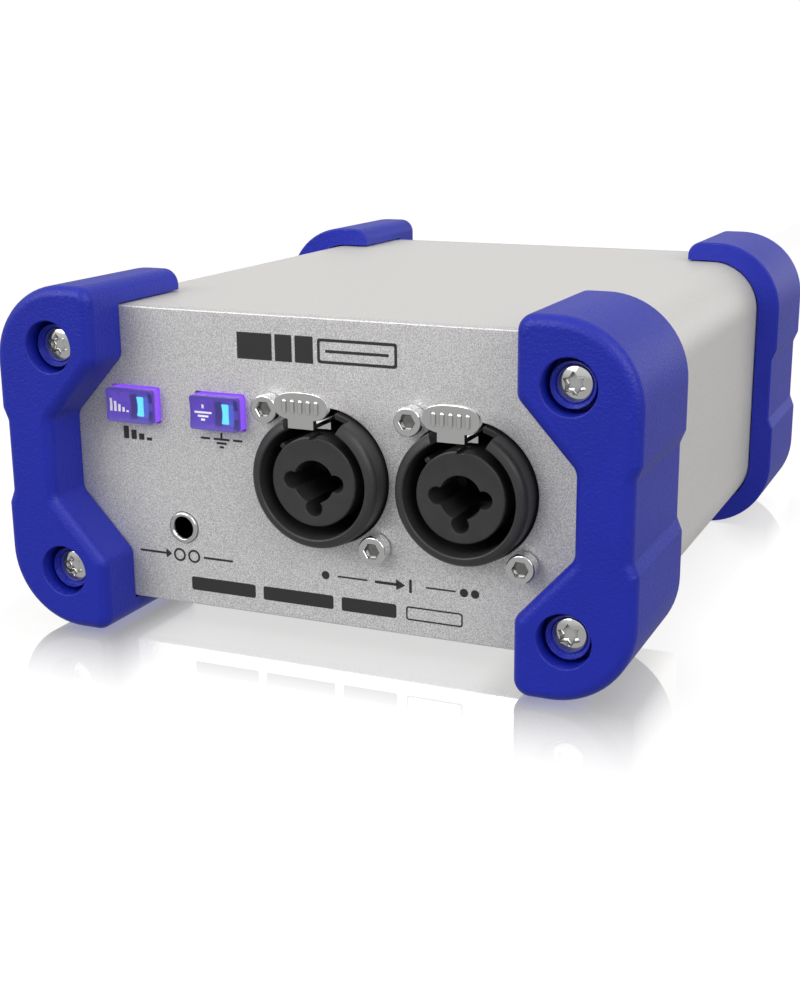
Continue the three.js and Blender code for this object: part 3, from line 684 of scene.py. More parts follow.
def make_guard():
    guard = slab(GUARD_OUTLINE, GUARD_Y0, GUARD_Y1, 2.0, 0.45, seg=18, steps=8)
    hollow = round_rect(CASE_HALF_X + 0.3, CASE_HALF_Z + 0.3, 10.3)
    guard = cut(guard, slab(hollow, PANEL - 0.3, GUARD_Y1 + 2, seg=24))
    # one turned cutter: the counterbore, the funnel-topped collar left standing in it,
    # the seat and the shank hole
    front = GUARD_Y0
    well = (
        [(0, front - 1), (4.80, front - 1), (4.80, front - 0.001)]
        + arc(4.80, front + 0.25, 0.25, 270, 180, 4)
        + [(4.55, front + 5.5), (3.76, front + 5.5), (3.76, front + 2.36)]
        + arc(3.66, front + 2.35, 0.10, 0, -90, 4)
        + [(3.60, front + 2.27), (3.03, front + 3.2), (2.98, front + 3.35),
           (2.98, front + 5.4), (1.9, front + 5.4), (1.9, PANEL + 1), (0, PANEL + 1)]
    )
    return cut(guard, revolve(well, SCREW_X, SCREW_Z), revolve(well, SCREW_X, -SCREW_Z))


ENDS = (("front", STAY), ("rear", FLIP_Y))
guard = make_guard()
for end, end_turn in ENDS:
    for side, side_turn in (("right", STAY), ("left", FLIP_X)):
        piece(moved(moved(clone(guard), side_turn), end_turn), f"guard_{end}_{side}",
              "bumper_blue", f"bumper_{end}_{side}", angle=28)
discard(guard)


def star(r_out, r_in, y0, y1):
    """Cutter for a six-pointed drive: nearly straight walls and a floor that rises to the middle."""
    def ring(scale, y):
        points = []
        for i in range(12):
            angle = math.radians(8) + math.pi / 2 + i * math.pi / 6
            radius = (r_in if i % 2 else r_out) * scale
            points.append((radius * math.cos(angle), radius * math.sin(angle)))
        return at_depth(points, y)

    stations = [(1.14, y0), (1.04, y0 + 0.45), (0.95, y0 + 0.62), (0.93, y1), (0.5, y1 - 0.2)]
    return from_rings([ring(scale, y) for scale, y in stations])


def make_guard_screw():
    crown = GUARD_Y0 + 2.68  # front of the low domed head
    seat = GUARD_Y0 + 5.05
    profile = [(2.84 * k / 12, crown + 0.44 * (k / 12) ** 2) for k in range(13)]
    profile += [
        (2.90, crown + 0.48), (2.93, crown + 0.58), (2.93, seat - 0.05), (1.5, seat),
        (1.5, seat + 15.4), (1.1, seat + 16), (0, seat + 16),
    ]
    return cut(revolve(profile), star(2.16, 1.36, crown - 0.4, crown + 1.1))


guard_screw = make_guard_screw()
for end, turn in ENDS:
    for side, sx in (("right", 1), ("left", -1)):
        for level, sz in (("upper", 1), ("lower", -1)):
            where = f"{end}_{side}_{level}"
            piece(copy_at(guard_screw, (sx * SCREW_X, sz * SCREW_Z), turn),
                  f"guard_screw_{where}", "screw_chrome", f"bumper_screw_{where}", angle=26)
discard(guard_screw)


# ------------------------------------------------------------------------ case
CASE_R = 10  # outer corner radius
WALL = 2
# a web from each screw channel to the case's corner: (outwards, away from mid height)
# measured from the screw
WEB = [(-2, 2), (2, -2), (4.6, -1), (2.0, 3.4), (-1, 5.4)]


def make_case_tube():
    y0, y1 = CASE_Y0, CASE_Y1
    outer = round_rect(CASE_HALF_X, CASE_HALF_Z, CASE_R)
    inner = round_rect(CASE_HALF_X - WALL, CASE_HALF_Z - WALL, CASE_R - WALL)
    stations = [
        (outer, 0.25, y0), (outer, 0.07, y0 + 0.07), (outer, 0, y0 + 0.25),
        (outer, 0, y1 - 0.25), (outer, 0.07, y1 - 0.07), (outer, 0.25, y1),
        (inner, 0, y1), (inner, 0, y0),
    ]
    tube = from_rings([at_depth(rounded(c, inset, 24), y) for c, inset, y in stations], loop=True)
    channels = [rod(x, z, 3.4, y0, y1, 32) for x, z in SCREW_SPOTS]
    webs = [
        loft([(sx * (SCREW_X + dx), sz * (SCREW_Z + dz)) for dx, dz in WEB],
             (y0 + 0.001, y1 - 0.001))
        for sx in (-1, 1) for sz in (-1, 1)
    ]
    holes = [rod(x, z, 1.8, y0 - 1, y1 + 1, 24) for x, z in SCREW_SPOTS]
    # rails on the side walls, above and below the board's edges
    board_lo, board_hi = box_mm("main_board")
    under, over = board_lo[2] - MID, board_hi[2] - MID
    rails = [
        block(*sorted((sx * 49.2, sx * (CASE_HALF_X - 1.6))), y0, y1, z0, z1)
        for sx in (-1, 1)
        for z0, z1 in ((over + 0.3, over + 1.3), (under - 1.3, under - 0.3))
    ]
    return cut(fuse(tube, join(*channels), join(*webs), join(*rails)), *holes)


piece(make_case_tube(), "case_tube", "case_aluminium", "case_shell")


# ---------------------------------------------------------------------- panels
SOCKET_HOLE_R = 12.0
SCREW_HOLE_R = 1.9
CAP_SPOTS = [(-9.9, 11.4), (9.9, -11.4)]  # cap screws, upper and lower, from a socket's centre


def hole(x, z, r, rim, seg):
    """A cutter for a through hole with a small broken edge at the front face."""
    profile = [(0, THROUGH[0]), (r + rim, THROUGH[0]), (r + rim, PANEL - 0.0005),
               (r, PANEL + rim), (r, THROUGH[1]), (0, THROUGH[1])]
    return revolve(profile, x, z, seg)


def cap_holes(y_end, x=0, z=0):
    return [rod(x + dx, z + dz, 1.55, PANEL - 1, y_end, 24) for dx, dz in CAP_SPOTS]


def make_plate(socket_spots, other_tools):
    tools = []
    for x, z in socket_spots:
        tools.append(hole(x, z, SOCKET_HOLE_R, 0.15, 96))
        tools += cap_holes(THROUGH[1], x, z)
    tools += other_tools
    tools += [rod(x, z, SCREW_HOLE_R, *THROUGH, 24) for x, z in SCREW_SPOTS]
    outline = round_rect(CASE_HALF_X - 0.04, CASE_HALF_Z - 0.04, CASE_R - 0.04)
    return cut(slab(outline, PANEL, CASE_Y0 - 0.02, 0.3, 0.0, seg=20, steps=4), *tools)


button_holes = [
    slab(round_rect(CAP_HALF_X + 0.3, CAP_HALF_Z + 0.3, 0.5, x, z), *THROUGH, seg=5)
    for x, z in BUTTONS.values()
]
front_plate = make_plate(SOCKETS.values(), button_holes + [hole(*MINI, 2.92, 0.04, 64)])
piece(front_plate, "panel_front", "panel_silver", "front_panel")

rear_plate = make_plate(OUTPUTS.values(), [hole(x, z, 4.9, 0.12, 48) for x, z in LINKS.values()])
piece(moved(rear_plate, TO_REAR), "panel_rear", "panel_silver", "rear_panel")


# -------------------------------------------------------- combination sockets
SHELL_R = 11.65  # outside of the rings that stand in the panel holes
BORE_R = 9.8
CAP_HOLE_END = -54
PIN_SPOTS = [(-4.05, 0), (4.05, 0), (0, -4.5)]  # from a socket's centre
HINGE = (-57, 10.45)  # (y, z) of the release tab's pivot


def make_flange():
    return slab(round_rect(13, 15.5, 1.5), MOUNT_Y, MOUNT_Y + 2.5, 0.15, 0.15, seg=5, steps=2)


def make_input_shell():
    front, lip = PANEL - 5.0, 0.35
    ring = revolve(
        [(BORE_R, PANEL + 3), (BORE_R, front + lip)]
        + arc(BORE_R + lip, front + lip, lip, 180, 262, 5)
        + [(10.75, front + 0.17)]
        + arc(10.35, front + 1.5, 1.3, -62, -8, 7)
        + [(SHELL_R, front + 1.65), (SHELL_R, PANEL + 3)], seg=96)
    housing = slab(round_rect(12, 12.5, 1.0), MOUNT_Y + 1, -36, 0, 0.3, seg=4, steps=2)
    shell = fuse(fuse(make_flange(), housing), ring)
    shell = cut(shell, rod(0, 0, BORE_R, MOUNT_Y - 0.2, -30, 96))
    # a wedge-shaped notch at the top of the ring, and a channel behind it for the arm
    spread = math.radians(28)
    wedge = [(sign * r * math.sin(spread), r * math.cos(spread))
             for sign, r in ((-1, 8.6), (1, 8.6), (1, 14), (-1, 14))]
    shell = cut(shell, loft(wedge, (PANEL - 8, MOUNT_Y)))
    shell = cut(shell, block(-4.2, 4.2, PANEL - 1, -48, 8.5, 12.2))
    # a low outer sill closes the notch on both sides of the arm
    top, inner = PANEL - 0.9, 10.65
    sill = revolve([(inner, top + 0.12), (10.77, top), (11.53, top), (SHELL_R, top + 0.12),
                    (SHELL_R, PANEL + 3), (inner, PANEL + 3)], seg=96)
    sill = boolean(sill, block(-7, 7, PANEL - 3, PANEL + 4, 8, 13), "INTERSECT")
    shell = fuse(shell, cut(sill, block(-2.7, 2.7, PANEL - 4, PANEL + 5, 7, 14)))
    shell = cut(shell, rod_x(*HINGE, 1.1, -7, 7))
    for tool in cap_holes(CAP_HOLE_END):
        shell = cut(shell, tool)
    return shell


def make_input_core():
    front = PANEL - 4.1
    core = revolve(
        [(0, front), (7.45, front)] + arc(7.45, front + 0.35, 0.35, -80, 0, 5)
        + [(7.8, -47), (9.5, -47), (9.5, -38), (0, -38)], seg=96)

    def well(x, z, r, depth, seg, rim=0.16):
        """A cutter for a blind hole with a rounded mouth."""
        return revolve(
            [(0, front - 1), (r + rim, front - 1), (r + rim, front - 0.0005)]
            + arc(r + rim, front + rim, rim, 270, 180, 3)
            + [(r, front + depth - 0.3), (r - 0.3, front + depth), (0, front + depth)], x, z, seg)

    core = cut(core, well(0, 0, 3.7, 25.6, 72))
    for x, z in PIN_SPOTS:
        core = cut(core, well(x, z, 1.5, 12.1, 40))
    core = cut(core, slab(round_rect(0.6, 0.7, 0.15, 0, 7.95), front - 1, front + 4, seg=3))
    nub = slab(round_rect(0.5, 0.55, 0.3, 0, 8.05), front + 0.5, front + 8, 0.15, 0,
               seg=4, steps=2)
    lift = Matrix.Translation((0, 0, MID))
    moved(nub, lift @ Matrix.Rotation(math.radians(-46), 4, "Y") @ lift.inverted())
    return fuse(core, nub)


def make_cap_screw():
    base = PANEL - 0.3
    front = base - 2.45
    screw = revolve(
        [(0, front), (2.15, front)] + arc(2.15, front + 0.35, 0.35, -84, 0, 6)
        + [(2.5, PANEL - 0.35), (2.43, base), (1.25, base),
           (1.25, PANEL + 6.6), (0.9, PANEL + 7), (0, PANEL + 7)], seg=64)
    # hexagon drive: (corner radius, depth from the head's front)
    drive = [(1.62, -0.1), (1.52, 0), (1.38, 0.13), (1.36, 0.2), (1.34, 1.3), (0.4, 1.5)]
    return cut(screw, from_rings([at_depth(circle(r, 6), front + y) for r, y in drive]))


def superoval(half_x, half_z, centre_z, power=2.5, count=96):
    """Points of the tab's outline, fuller than an ellipse."""
    points = []
    for k in range(count):
        cos, sin = math.cos(2 * math.pi * k / count), math.sin(2 * math.pi * k / count)
        points.append((half_x * math.copysign(abs(cos) ** (2 / power), cos),
                       centre_z + half_z * math.copysign(abs(sin) ** (2 / power), sin)))
    return points


def make_latch():
    tab_y, arm_half = PANEL - 8.1, 2.325
    # (inset, depth from the tab's front)
    stations = [(0.22, 0), (0.06, 0.06), (0, 0.22), (0, 0.98), (0.06, 1.14), (0.22, 1.2)]
    tab = from_rings([at_depth(superoval(4.95 - inset, 2.4 - inset, 13.7), tab_y + y)
                      for inset, y in stations])
    neck = block(-arm_half, arm_half, tab_y + 0.02, tab_y + 1.18, 10.0, 12.0)
    arm = block(-arm_half, arm_half, tab_y + 0.12, -52.5, 10.0, 10.9, bevel=0.15)
    hook = prism_x([(-63.2, 10.2), (-63.2, 8.5), (-62.4, 8.5), (-60.6, 10.2)], -1.8, 1.8)
    latch = fuse(tab, neck, arm, hook, rod_x(*HINGE, 0.8, -6.6, 6.6))
    # low grip ribs across the face of the tab
    half, radius, pitch = 0.38, 0.36, 1.45
    for k in range(5):
        x = -2.9 + pitch * k
        corners = [(x + half, 12.5, radius), (x + half, 14.8, radius),
                   (x - half, 14.8, radius), (x - half, 12.5, radius)]
        latch = fuse(latch, slab(corners, tab_y - 0.36, tab_y + 0.4, 0.3, 0, seg=6, steps=5))
    return latch


def place_cap_screws(where, centre, turn=STAY):
    for (dx, dz), level in zip(CAP_SPOTS, ("upper", "lower")):
        piece(copy_at(cap_screw, (centre[0] + dx, centre[1] + dz), turn),
              f"cap_screw_{where}_{level}", "bright_steel", f"socket_screw_{where}_{level}",
              look=MAT["cap_chrome"])


shell, core, cap_screw, latch = (
    make_input_shell(), make_input_core(), make_cap_screw(), make_latch())
for side, spot in SOCKETS.items():
    piece(copy_at(shell, spot), f"socket_shell_{side}", "socket_charcoal",
          f"input_socket_shell_{side}", angle=30)
    piece(copy_at(core, spot), f"socket_core_{side}", "socket_charcoal",
          f"input_socket_core_{side}", angle=30)
    piece(copy_at(latch, spot), f"release_tab_{side}", "bright_steel", f"latch_tab_{side}",
          angle=34, look=MAT["tab_chrome"], body=f"{side}_latch")
    place_cap_screws(f"front_{side}", spot)
for side, spot in OUTPUTS.items():
    place_cap_screws(f"rear_{side}", spot, TO_REAR)
discard(shell, core, cap_screw, latch)


# --------------------------------------------------------------------- buttons
CAP_BACK = -59.8
DISH = 0.5  # depth of the finger dish
DISH_R = (CAP_HALF_Z ** 2 + DISH ** 2) / (2 * DISH)
LENS_X = place("pad_button_lens")[0] - BUTTONS["pad"][0]
LENS_HALF_X, LENS_HALF_Z = half_size("pad_button_lens")
LENS_HALF_X += 0.02
LENS_GAP = 0.05
# printed bars (x0, x1, z0, z1) about the button's centre
CAP_MARKS = {
    # falling bars: level turned down
    "pad": [(-4.1 + 0.85 * k, -3.6 + 0.85 * k, -1.15, 1.15 - 0.5 * k) for k in range(5)],
    # an earth mark with a broken stem
    "lift": [(-3.9, -0.5, -0.15, 0.2), (-3.25, -1.15, -0.8, -0.45),
             (-2.6, -1.8, -1.4, -1.05), (-2.4, -2.0, 0.75, 1.45)],
}


def dish_tool(sink=0.0):
    return rod_x(CAP_FRONT + DISH + sink - DISH_R, 0, DISH_R, -8, 8, 720)


def waisted(half_x, half_z, y0, y1):
    """A rounded bar at the lens's place, a little narrower at the middle of its height."""
    base = rounded(round_rect(half_x, half_z, 0.3), seg=5)
    dense = []
    for (ax, az), (bx, bz) in zip(base, base[1:] + base[:1]):
        count = max(1, math.ceil(math.hypot(bx - ax, bz - az) / 0.3))
        dense += [(ax + (bx - ax) * i / count, az + (bz - az) * i / count)
                  for i in range(count)]
    return loft([(LENS_X + x * (0.84 + 0.20 * (z / half_z) ** 2), z) for x, z in dense],
                (y0, y1))


def make_button_cap():
    cap = slab(round_rect(CAP_HALF_X, CAP_HALF_Z, 0.55), CAP_FRONT, CAP_BACK, 0.28, 0.1,
               seg=6, steps=4)
    cap = cut(cap, dish_tool())
    return cut(cap, waisted(LENS_HALF_X + LENS_GAP, LENS_HALF_Z + LENS_GAP,
                            CAP_FRONT - 1, CAP_FRONT + 3))


def make_lens():
    return cut(waisted(LENS_HALF_X, LENS_HALF_Z, CAP_FRONT + 0.3, CAP_BACK), dish_tool(0.16))


def on_dish(bars, centre):
    """Thin bars that follow the finger dish."""
    def dish_y(z):
        return CAP_FRONT + DISH - DISH_R + math.sqrt(DISH_R ** 2 - z * z)

    parts = []
    for x0, x1, z0, z1 in bars:
        count = max(2, math.ceil((z1 - z0) / 0.25))
        heights = [z0 + (z1 - z0) * i / count for i in range(count + 1)]
        loop = [(dish_y(z) - 0.02, z + centre[1]) for z in heights]
        loop += [(dish_y(z) + 0.03, z + centre[1]) for z in reversed(heights)]
        parts.append(prism_x(loop, centre[0] + x0, centre[0] + x1))
    return join(*parts)


cap, lens = make_button_cap(), make_lens()
for name, spot in BUTTONS.items():
    body = f"{name}_button"
    violet = material(f"button_violet_{name}", paint_button, centre=spot)
    piece(copy_at(cap, spot), f"{name}_cap", "button_violet", f"{body}_cap",
          look=violet, body=body)
    piece(copy_at(lens, spot), f"{name}_window", "lens_cyan", f"{body}_lens", body=body)
    piece(on_dish(CAP_MARKS[name], spot), f"{name}_cap_mark", "button_violet",
          look=INK_WHITE, body=body)
discard(cap, lens)


# -------------------------------------------------------------- mini jack bush
def make_bush():
    front, bore, back = PANEL - 0.55, 1.83, -58
    profile = (
        [(bore, back), (bore, front + 0.55), (2.02, front + 0.2), (2.14, front + 0.04),
         (2.2, front), (2.5, front)]
        + arc(2.5, front + 0.33, 0.33, -84, 0, 5) + [(2.83, back)]
    )
    return revolve(profile, *MINI, 64)


BORE_SHADE_R = 1.87  # painted shade: the bush is painted black inside this radius, where its bore lies in shadow
piece(make_bush(), "mini_bush", "bright_steel", "mini_jack_bush", angle=25,
      look=material("bush_steel", paint_steel, bore=(MINI[0], MINI[1] + MID, BORE_SHADE_R)))


# ------------------------------------------------------- rear sockets and jacks
def make_output_shell():
    front, bore = PANEL - 3, 8.2
    ring = (
        [(bore, PANEL + 3), (bore, front + 0.3)] + arc(8.5, front + 0.3, 0.3, 180, 262, 4)
        + [(10.9, front + 0.03)] + arc(11.05, front + 0.62, 0.6, -85, 0, 5)
        + [(SHELL_R, PANEL + 3)]
    )
    housing = slab(round_rect(11.2, 12.4, 1.0), MOUNT_Y + 1, -42, 0, 0.3, seg=4, steps=2)
    shell = fuse(fuse(make_flange(), housing), revolve(ring, seg=96))
    shell = cut(shell, rod(0, 0, bore, MOUNT_Y - 0.2, -46.5, 96))
    for x, z in PIN_SPOTS:
        shell = cut(shell, rod(x, z, 1.5, -48, -40, 24))
    for tool in cap_holes(CAP_HOLE_END):
        shell = cut(shell, tool)
    key = slab(round_rect(0.9, 0.7, 0.2, 0, 7.9), PANEL - 1.2, -46, 0.15, 0, seg=3, steps=2)
    return fuse(shell, key)


def make_pin():
    front, radius, back = PANEL + 1, 1.2, -41
    tip = arc(0.0, front + radius, radius, -84, 0, 6)
    return revolve([(0, front)] + tip + [(radius, back), (0, back)], seg=32)


pin, out_shell = make_pin(), make_output_shell()
for side, (x, z) in OUTPUTS.items():
    piece(copy_at(out_shell, (x, z), TO_REAR), f"output_shell_{side}", "socket_charcoal",
          f"output_socket_shell_{side}", angle=30)
    for k, (dx, dz) in enumerate(PIN_SPOTS, 1):
        piece(copy_at(pin, (x + dx, z + dz), TO_REAR), f"contact_pin_{side}_{k}",
              "contact_gold", f"output_pin_{side}_{k}")
discard(pin, out_shell)


def make_link_body():
    front, bush_r, bore = PANEL - 3.4, 4.6, 3.3
    body = slab(round_rect(7, 6, 0.6), MOUNT_Y, -38, 0.2, 0.2, seg=4, steps=2)
    # threaded bush: shallow turned grooves
    profile = [(0, front), (4.2, front), (bush_r, front + 0.4)]
    y = front + 0.5
    while y < PANEL - 0.2:
        profile += [(bush_r, y), (4.38, y + 0.22), (bush_r, y + 0.44)]
        y += 0.5
    profile += [(bush_r, PANEL_IN + 1), (0, PANEL_IN + 1)]
    body = fuse(body, revolve(profile))
    return cut(body, revolve([(0, front - 1), (3.75, front - 1), (3.75, front - 0.0005),
                              (bore, front + 0.5), (bore, -40), (0, -40)]))


def make_link_nut():
    y0, y1 = PANEL - 2.7, PANEL - 0.3
    corners = [(x, z, 0.25) for x, z in circle(6.6, 6)]
    nut = slab(corners, y0, y1, 0.1, 0.1, seg=6, steps=2)
    turned = revolve([(0, y0 - 0.01), (5.75, y0 - 0.01), (6.65, y0 + 0.5), (6.65, y1 - 0.3),
                      (6.2, y1 + 0.01), (0, y1 + 0.01)])
    nut = boolean(nut, turned, "INTERSECT")
    return cut(nut, rod(0, 0, 4.75, y0 - 1, y1 + 1, 72))


link_body, link_nut = make_link_body(), make_link_nut()
for level, spot in LINKS.items():
    piece(copy_at(link_body, spot, TO_REAR), f"link_jack_{level}", "inner_black",
          f"link_jack_body_{level}", angle=25)
    piece(copy_at(link_nut, spot, TO_REAR), f"link_nut_{level}", "screw_chrome",
          f"link_jack_nut_{level}", angle=25)
discard(link_body, link_nut)


# --------------------------------------------------------------- printed marks
def plate(points, depth=0.03):
    return loft(points, (PANEL - depth, PANEL + depth))


def bar_outline(x0, x1, z0, z1, r, inset=0.0):
    return rounded(round_rect((x1 - x0) / 2 - inset, (z1 - z0) / 2 - inset, r,
                              (x0 + x1) / 2, (z0 + z1) / 2), seg=4)


def bar(x0, x1, z0, z1, r=0.12):
    return plate(bar_outline(x0, x1, z0, z1, r))


def frame_bar(x0, x1, z0, z1, line):
    return cut(bar(x0, x1, z0, z1, 0.5), plate(bar_outline(x0, x1, z0, z1, 0.3, line), 1))


def dot(x, z, r):
    return plate(circle(r, 32, x, z))


def hoop(x, z, r, line):
    return cut(dot(x, z, r), rod(x, z, r - line, PANEL - 1, PANEL + 1, 32))


def front_marks():
    # upper middle: three solid bars and an outlined bar with a line in it
    marks = [bar(x0, x1, 19.0, 23.6) for x0, x1 in ((-15.1, -8.4), (-7.8, -4.6), (-4.0, -0.6))]
    marks += [frame_bar(0.2, 14.8, 19.2, 23.4, 0.5), bar(1.7, 13.3, 21.05, 21.55)]
    # pad: a falling step
    x = BUTTONS["pad"][0]
    for k in range(4):
        marks.append(bar(x - 3.0 + 1.6 * k, x - 1.9 + 1.6 * k, 2.9, 5.2 - 0.58 * k))
    # lift: an earth mark between two rules
    x = BUTTONS["lift"][0]
    marks.append(bar(x - 0.2, x + 0.2, 4.55, 5.6))
    for half, z in ((1.6, 4.2), (1.0, 3.5), (0.45, 2.8)):
        marks.append(bar(x - half, x + half, z, z + 0.4, 0.1))
    marks += [bar(x - 4.2, x - 2.3, 4.2, 4.6, 0.1), bar(x + 2.3, x + 4.2, 4.2, 4.6, 0.1)]
    # mini jack: two rings with an arrow in
    marks += [hoop(x, -17.8, 1.25, 0.38) for x in (-28.6, -25.6)]
    marks += [bar(-36.9, -31.2, -18.0, -17.6, 0.1),
              plate([(-31.4, -16.9), (-31.4, -18.7), (-30.2, -17.8)]),
              bar(-23.6, -17.6, -18.0, -17.6, 0.1)]
    # channel marks: one dot, two dots, and an arrow between rules
    marks += [dot(0.8, -18.0, 0.75), bar(3.1, 8.8, -18.1, -17.8, 0.08),
              bar(10.2, 14.4, -18.25, -17.75, 0.1),
              plate([(14.2, -17.0), (14.2, -19.0), (15.9, -18.0)]),
              bar(16.6, 17.1, -19.2, -16.8, 0.1), bar(19.7, 25.1, -18.0, -17.7, 0.08)]
    marks += [dot(x, -17.9, 0.75) for x in (26.6, 28.6)]
    # title: a heavy rule in three parts and a light outlined end
    for x0, x1 in ((-26.3, -13.2), (-11.6, 2.2), (3.8, 14.2)):
        marks.append(bar(x0, x1, -24.1, -21.6, 0.4))
    marks.append(frame_bar(16.0, 26.4, -24.1, -21.6, 0.28))
    return join(*marks)


def rear_marks():
    marks = []
    for x, _ in OUTPUTS.values():
        marks += [bar(x - 4.5, x + 4.5, -18.4, -17.6), hoop(x, 19.2, 1.3, 0.4)]
    marks += [hoop(x - 10.2, z, 1.2, 0.36) for x, z in LINKS.values()]
    marks += [bar(-14, 14, -23.6, -21.8, 0.4), frame_bar(16, 27, -23.6, -21.8, 0.28)]
    return join(*marks)


piece(front_marks(), "front_marks", "panel_silver", look=INK)
piece(moved(rear_marks(), TO_REAR), "rear_marks", "panel_silver", look=INK)

# --------------------------------------------------- carried-over inner pieces
CARRIED = {
    "main_board": "circuit_board", "control_board": "circuit_board",
    "board_header": "inner_black", "mini_jack_body": "inner_black",
    "pad_switch_body": "inner_black", "lift_switch_body": "inner_black",
    "pad_switch_plunger": "inner_black", "lift_switch_plunger": "inner_black",
    "latch_spring_left": "bright_steel", "latch_spring_right": "bright_steel",
    "output_transformer_left": "bright_steel", "output_transformer_right": "bright_steel",
}
for node, slot in CARRIED.items():
    carried = frame["nodes"][node]
    mesh = carried.data
    mesh.materials.clear()
    mesh.materials.append(MAT[slot])
    mesh.polygons.foreach_set("use_smooth", [True] * len(mesh.polygons))
    mesh.set_sharp_from_angle(angle=math.radians(35))

# the switch springs are drawn at the length they have with the button pressed, so the
# plungers never run into them
SPRING_PRESSED = 0.47  # pressed length over free length
for name in BUTTONS:
    node = f"{name}_switch_spring"
    mesh = frame["nodes"][node].data.copy()
    fixed = max(v.co.y for v in mesh.vertices)
    for v in mesh.vertices:
        v.co.y = fixed - (fixed - v.co.y) * SPRING_PRESSED
    mesh.transform(Matrix.Translation((0, -DATUM, 0)) @ Matrix.Scale(1000, 4))
    piece(link_object(mesh), f"{name}_spring_shape", "bright_steel", node)


# ----------------------------------------------------------------------- floor
# metres from here on
CAMERA_AT = Vector((0.113696, -0.282569 + DATUM / 1000, 0.095608))
MIRROR = 1.10  # strength of the mirror image at the foot of the box
BEHIND, BEHIND_RIGHT = 0.60, 0.48  # share of the floor's glow that the mirror image hides
BETWEEN = 0.62  # mirror strength between the guards
REAR = 0.42  # mirror strength towards the rear
FALL = 1.35  # power of the fade away from the box
REACH_GUARD, REACH_PANEL, REACH_REAR = 0.0122, 0.0060, 0.0085  # heights still mirrored
GUARD_EDGE = (0.030, 0.0375)  # soft edge between the panel and the guards, from the middle
MID_DEPTH = (0.0, 0.001)  # step in y at the box's middle
GUARD_FOOT = cad_hi.y - 0.0291  # where the rear guard's foot begins
FLOOR_HALF, FLOOR_Z = 12.0, -0.00004


def paint_floor(net):
    """White sweep with a contact shadow and a mirror image that fades away from the box."""
    px, py, _ = net.split(net.node("NewGeometry", output="Position"))
    # in front of the box: where the mirrored sight line meets the guards' front plane
    # (at_least with a small distance keeps the divisions finite)
    ahead = (cad_lo.y - py).at_least(0.0)
    reach = ahead / (-CAMERA_AT.y + cad_lo.y - ahead).at_least(0.02)
    hit_x = px - (CAMERA_AT.x - px) * reach
    height = reach * CAMERA_AT.z
    in_front = ahead > 0.0
    beyond = 1.0 - in_front
    # to the right of the box: where it meets the guards' outer plane
    past = (px - cad_hi.x).at_least(0.0)
    lean = past / (CAMERA_AT.x - px).at_least(0.004)
    side_height = lean * CAMERA_AT.z
    hit_y = py + (py - CAMERA_AT.y) * lean
    round_side = hit_x > cad_hi.x
    guards = abs(hit_x).ramp(span=GUARD_EDGE, smooth=True)
    left_off = (hit_x * -1.0 - cad_hi.x).ramp(span=(-0.001, 0.006), to=(1.0, 0.0), smooth=True)
    front_reach = guards.ramp(to=(REACH_PANEL, REACH_GUARD))
    front = height.ramp(span=(0.0, front_reach), to=(1.0, 0.0)) * left_off
    front = front ** guards.ramp(to=(1.0, FALL))
    front = front * guards.ramp(to=(BETWEEN, 1.0))
    # the recess along the case's side: the sight line meets the rear guard's foot or the case
    run = (GUARD_FOOT - py).at_least(0.0) / (py - CAMERA_AT.y).at_least(0.02)
    foot_x = px - (CAMERA_AT.x - px) * run
    recess = ((run * CAMERA_AT.z).ramp(span=(0.0, REACH_REAR), to=(1.0, 0.0))
              * foot_x.ramp(span=(0.043, 0.0555), smooth=True))
    recess = recess ** FALL * REAR
    between = abs(hit_y) < GUARD_FOOT
    reach_in = hit_y < cad_hi.y
    side_reach = hit_y.ramp(span=MID_DEPTH, to=(REACH_GUARD, REACH_REAR))
    side_fade = side_height.ramp(span=(0.0, side_reach), to=(1.0, 0.0))
    side_fade = side_fade ** FALL * (reach_in * hit_y.ramp(span=MID_DEPTH, to=(1.0, REAR)))
    beside = recess * between + side_fade * (1.0 - between)
    # under the box: full strength at the guards' feet, weaker between them
    feet = (abs(py) > GUARD_FOOT) * abs(px).ramp(span=GUARD_EDGE, to=(BETWEEN, 1.0), smooth=True)
    middle = (abs(py) < GUARD_FOOT) * recess.at_least(
        px.ramp(span=(0.030, 0.045), to=(BETWEEN, 0.05)))
    feet = feet * py.ramp(span=MID_DEPTH, to=(1.0, REAR))
    under = (feet + middle) * left_off
    inside = beyond * (1.0 - round_side)
    outer = front * in_front + under * inside
    turned = hit_x.ramp(span=(cad_hi.x - 0.006, cad_hi.x + 0.012), to=(1.0, 0.5), smooth=True)
    turned = turned.at_least(hit_y > 0.0)
    fade = outer * (1.0 - round_side * in_front) + beside * round_side
    speck = net.noise(size_mm=6.0).ramp(span=(0.3, 0.7), to=(0.98, 1.0))
    mirror = fade * turned * MIRROR * speck
    # contact shadow, a little stronger in front of the guards
    open_sky = net.node("AmbientOcclusion", {"Distance": 0.016}, "AO", samples=24)
    dark = 1.0 - open_sky
    back = (py - cad_lo.y).ramp(span=(0.0, 0.03))
    weight = back.ramp(to=(guards.ramp(to=(0.22, 0.3)), 0.22))
    base_glow, shadow_gain = 1.045, 1.0
    shade = base_glow - dark * (weight * shadow_gain)
    hidden = mirror * px.ramp(span=(0.042, 0.056), to=(BEHIND, BEHIND_RIGHT))
    glow = net.node("Emission", {"Color": (1.0, 1.0, 1.005), "Strength": shade * (1.0 - hidden)})
    gloss = net.node("BsdfGlossy", {"Roughness": 0.035, "Color": mirror})
    net.put(net.surface, 0, glow)
    net.put(net.surface, 1, gloss)


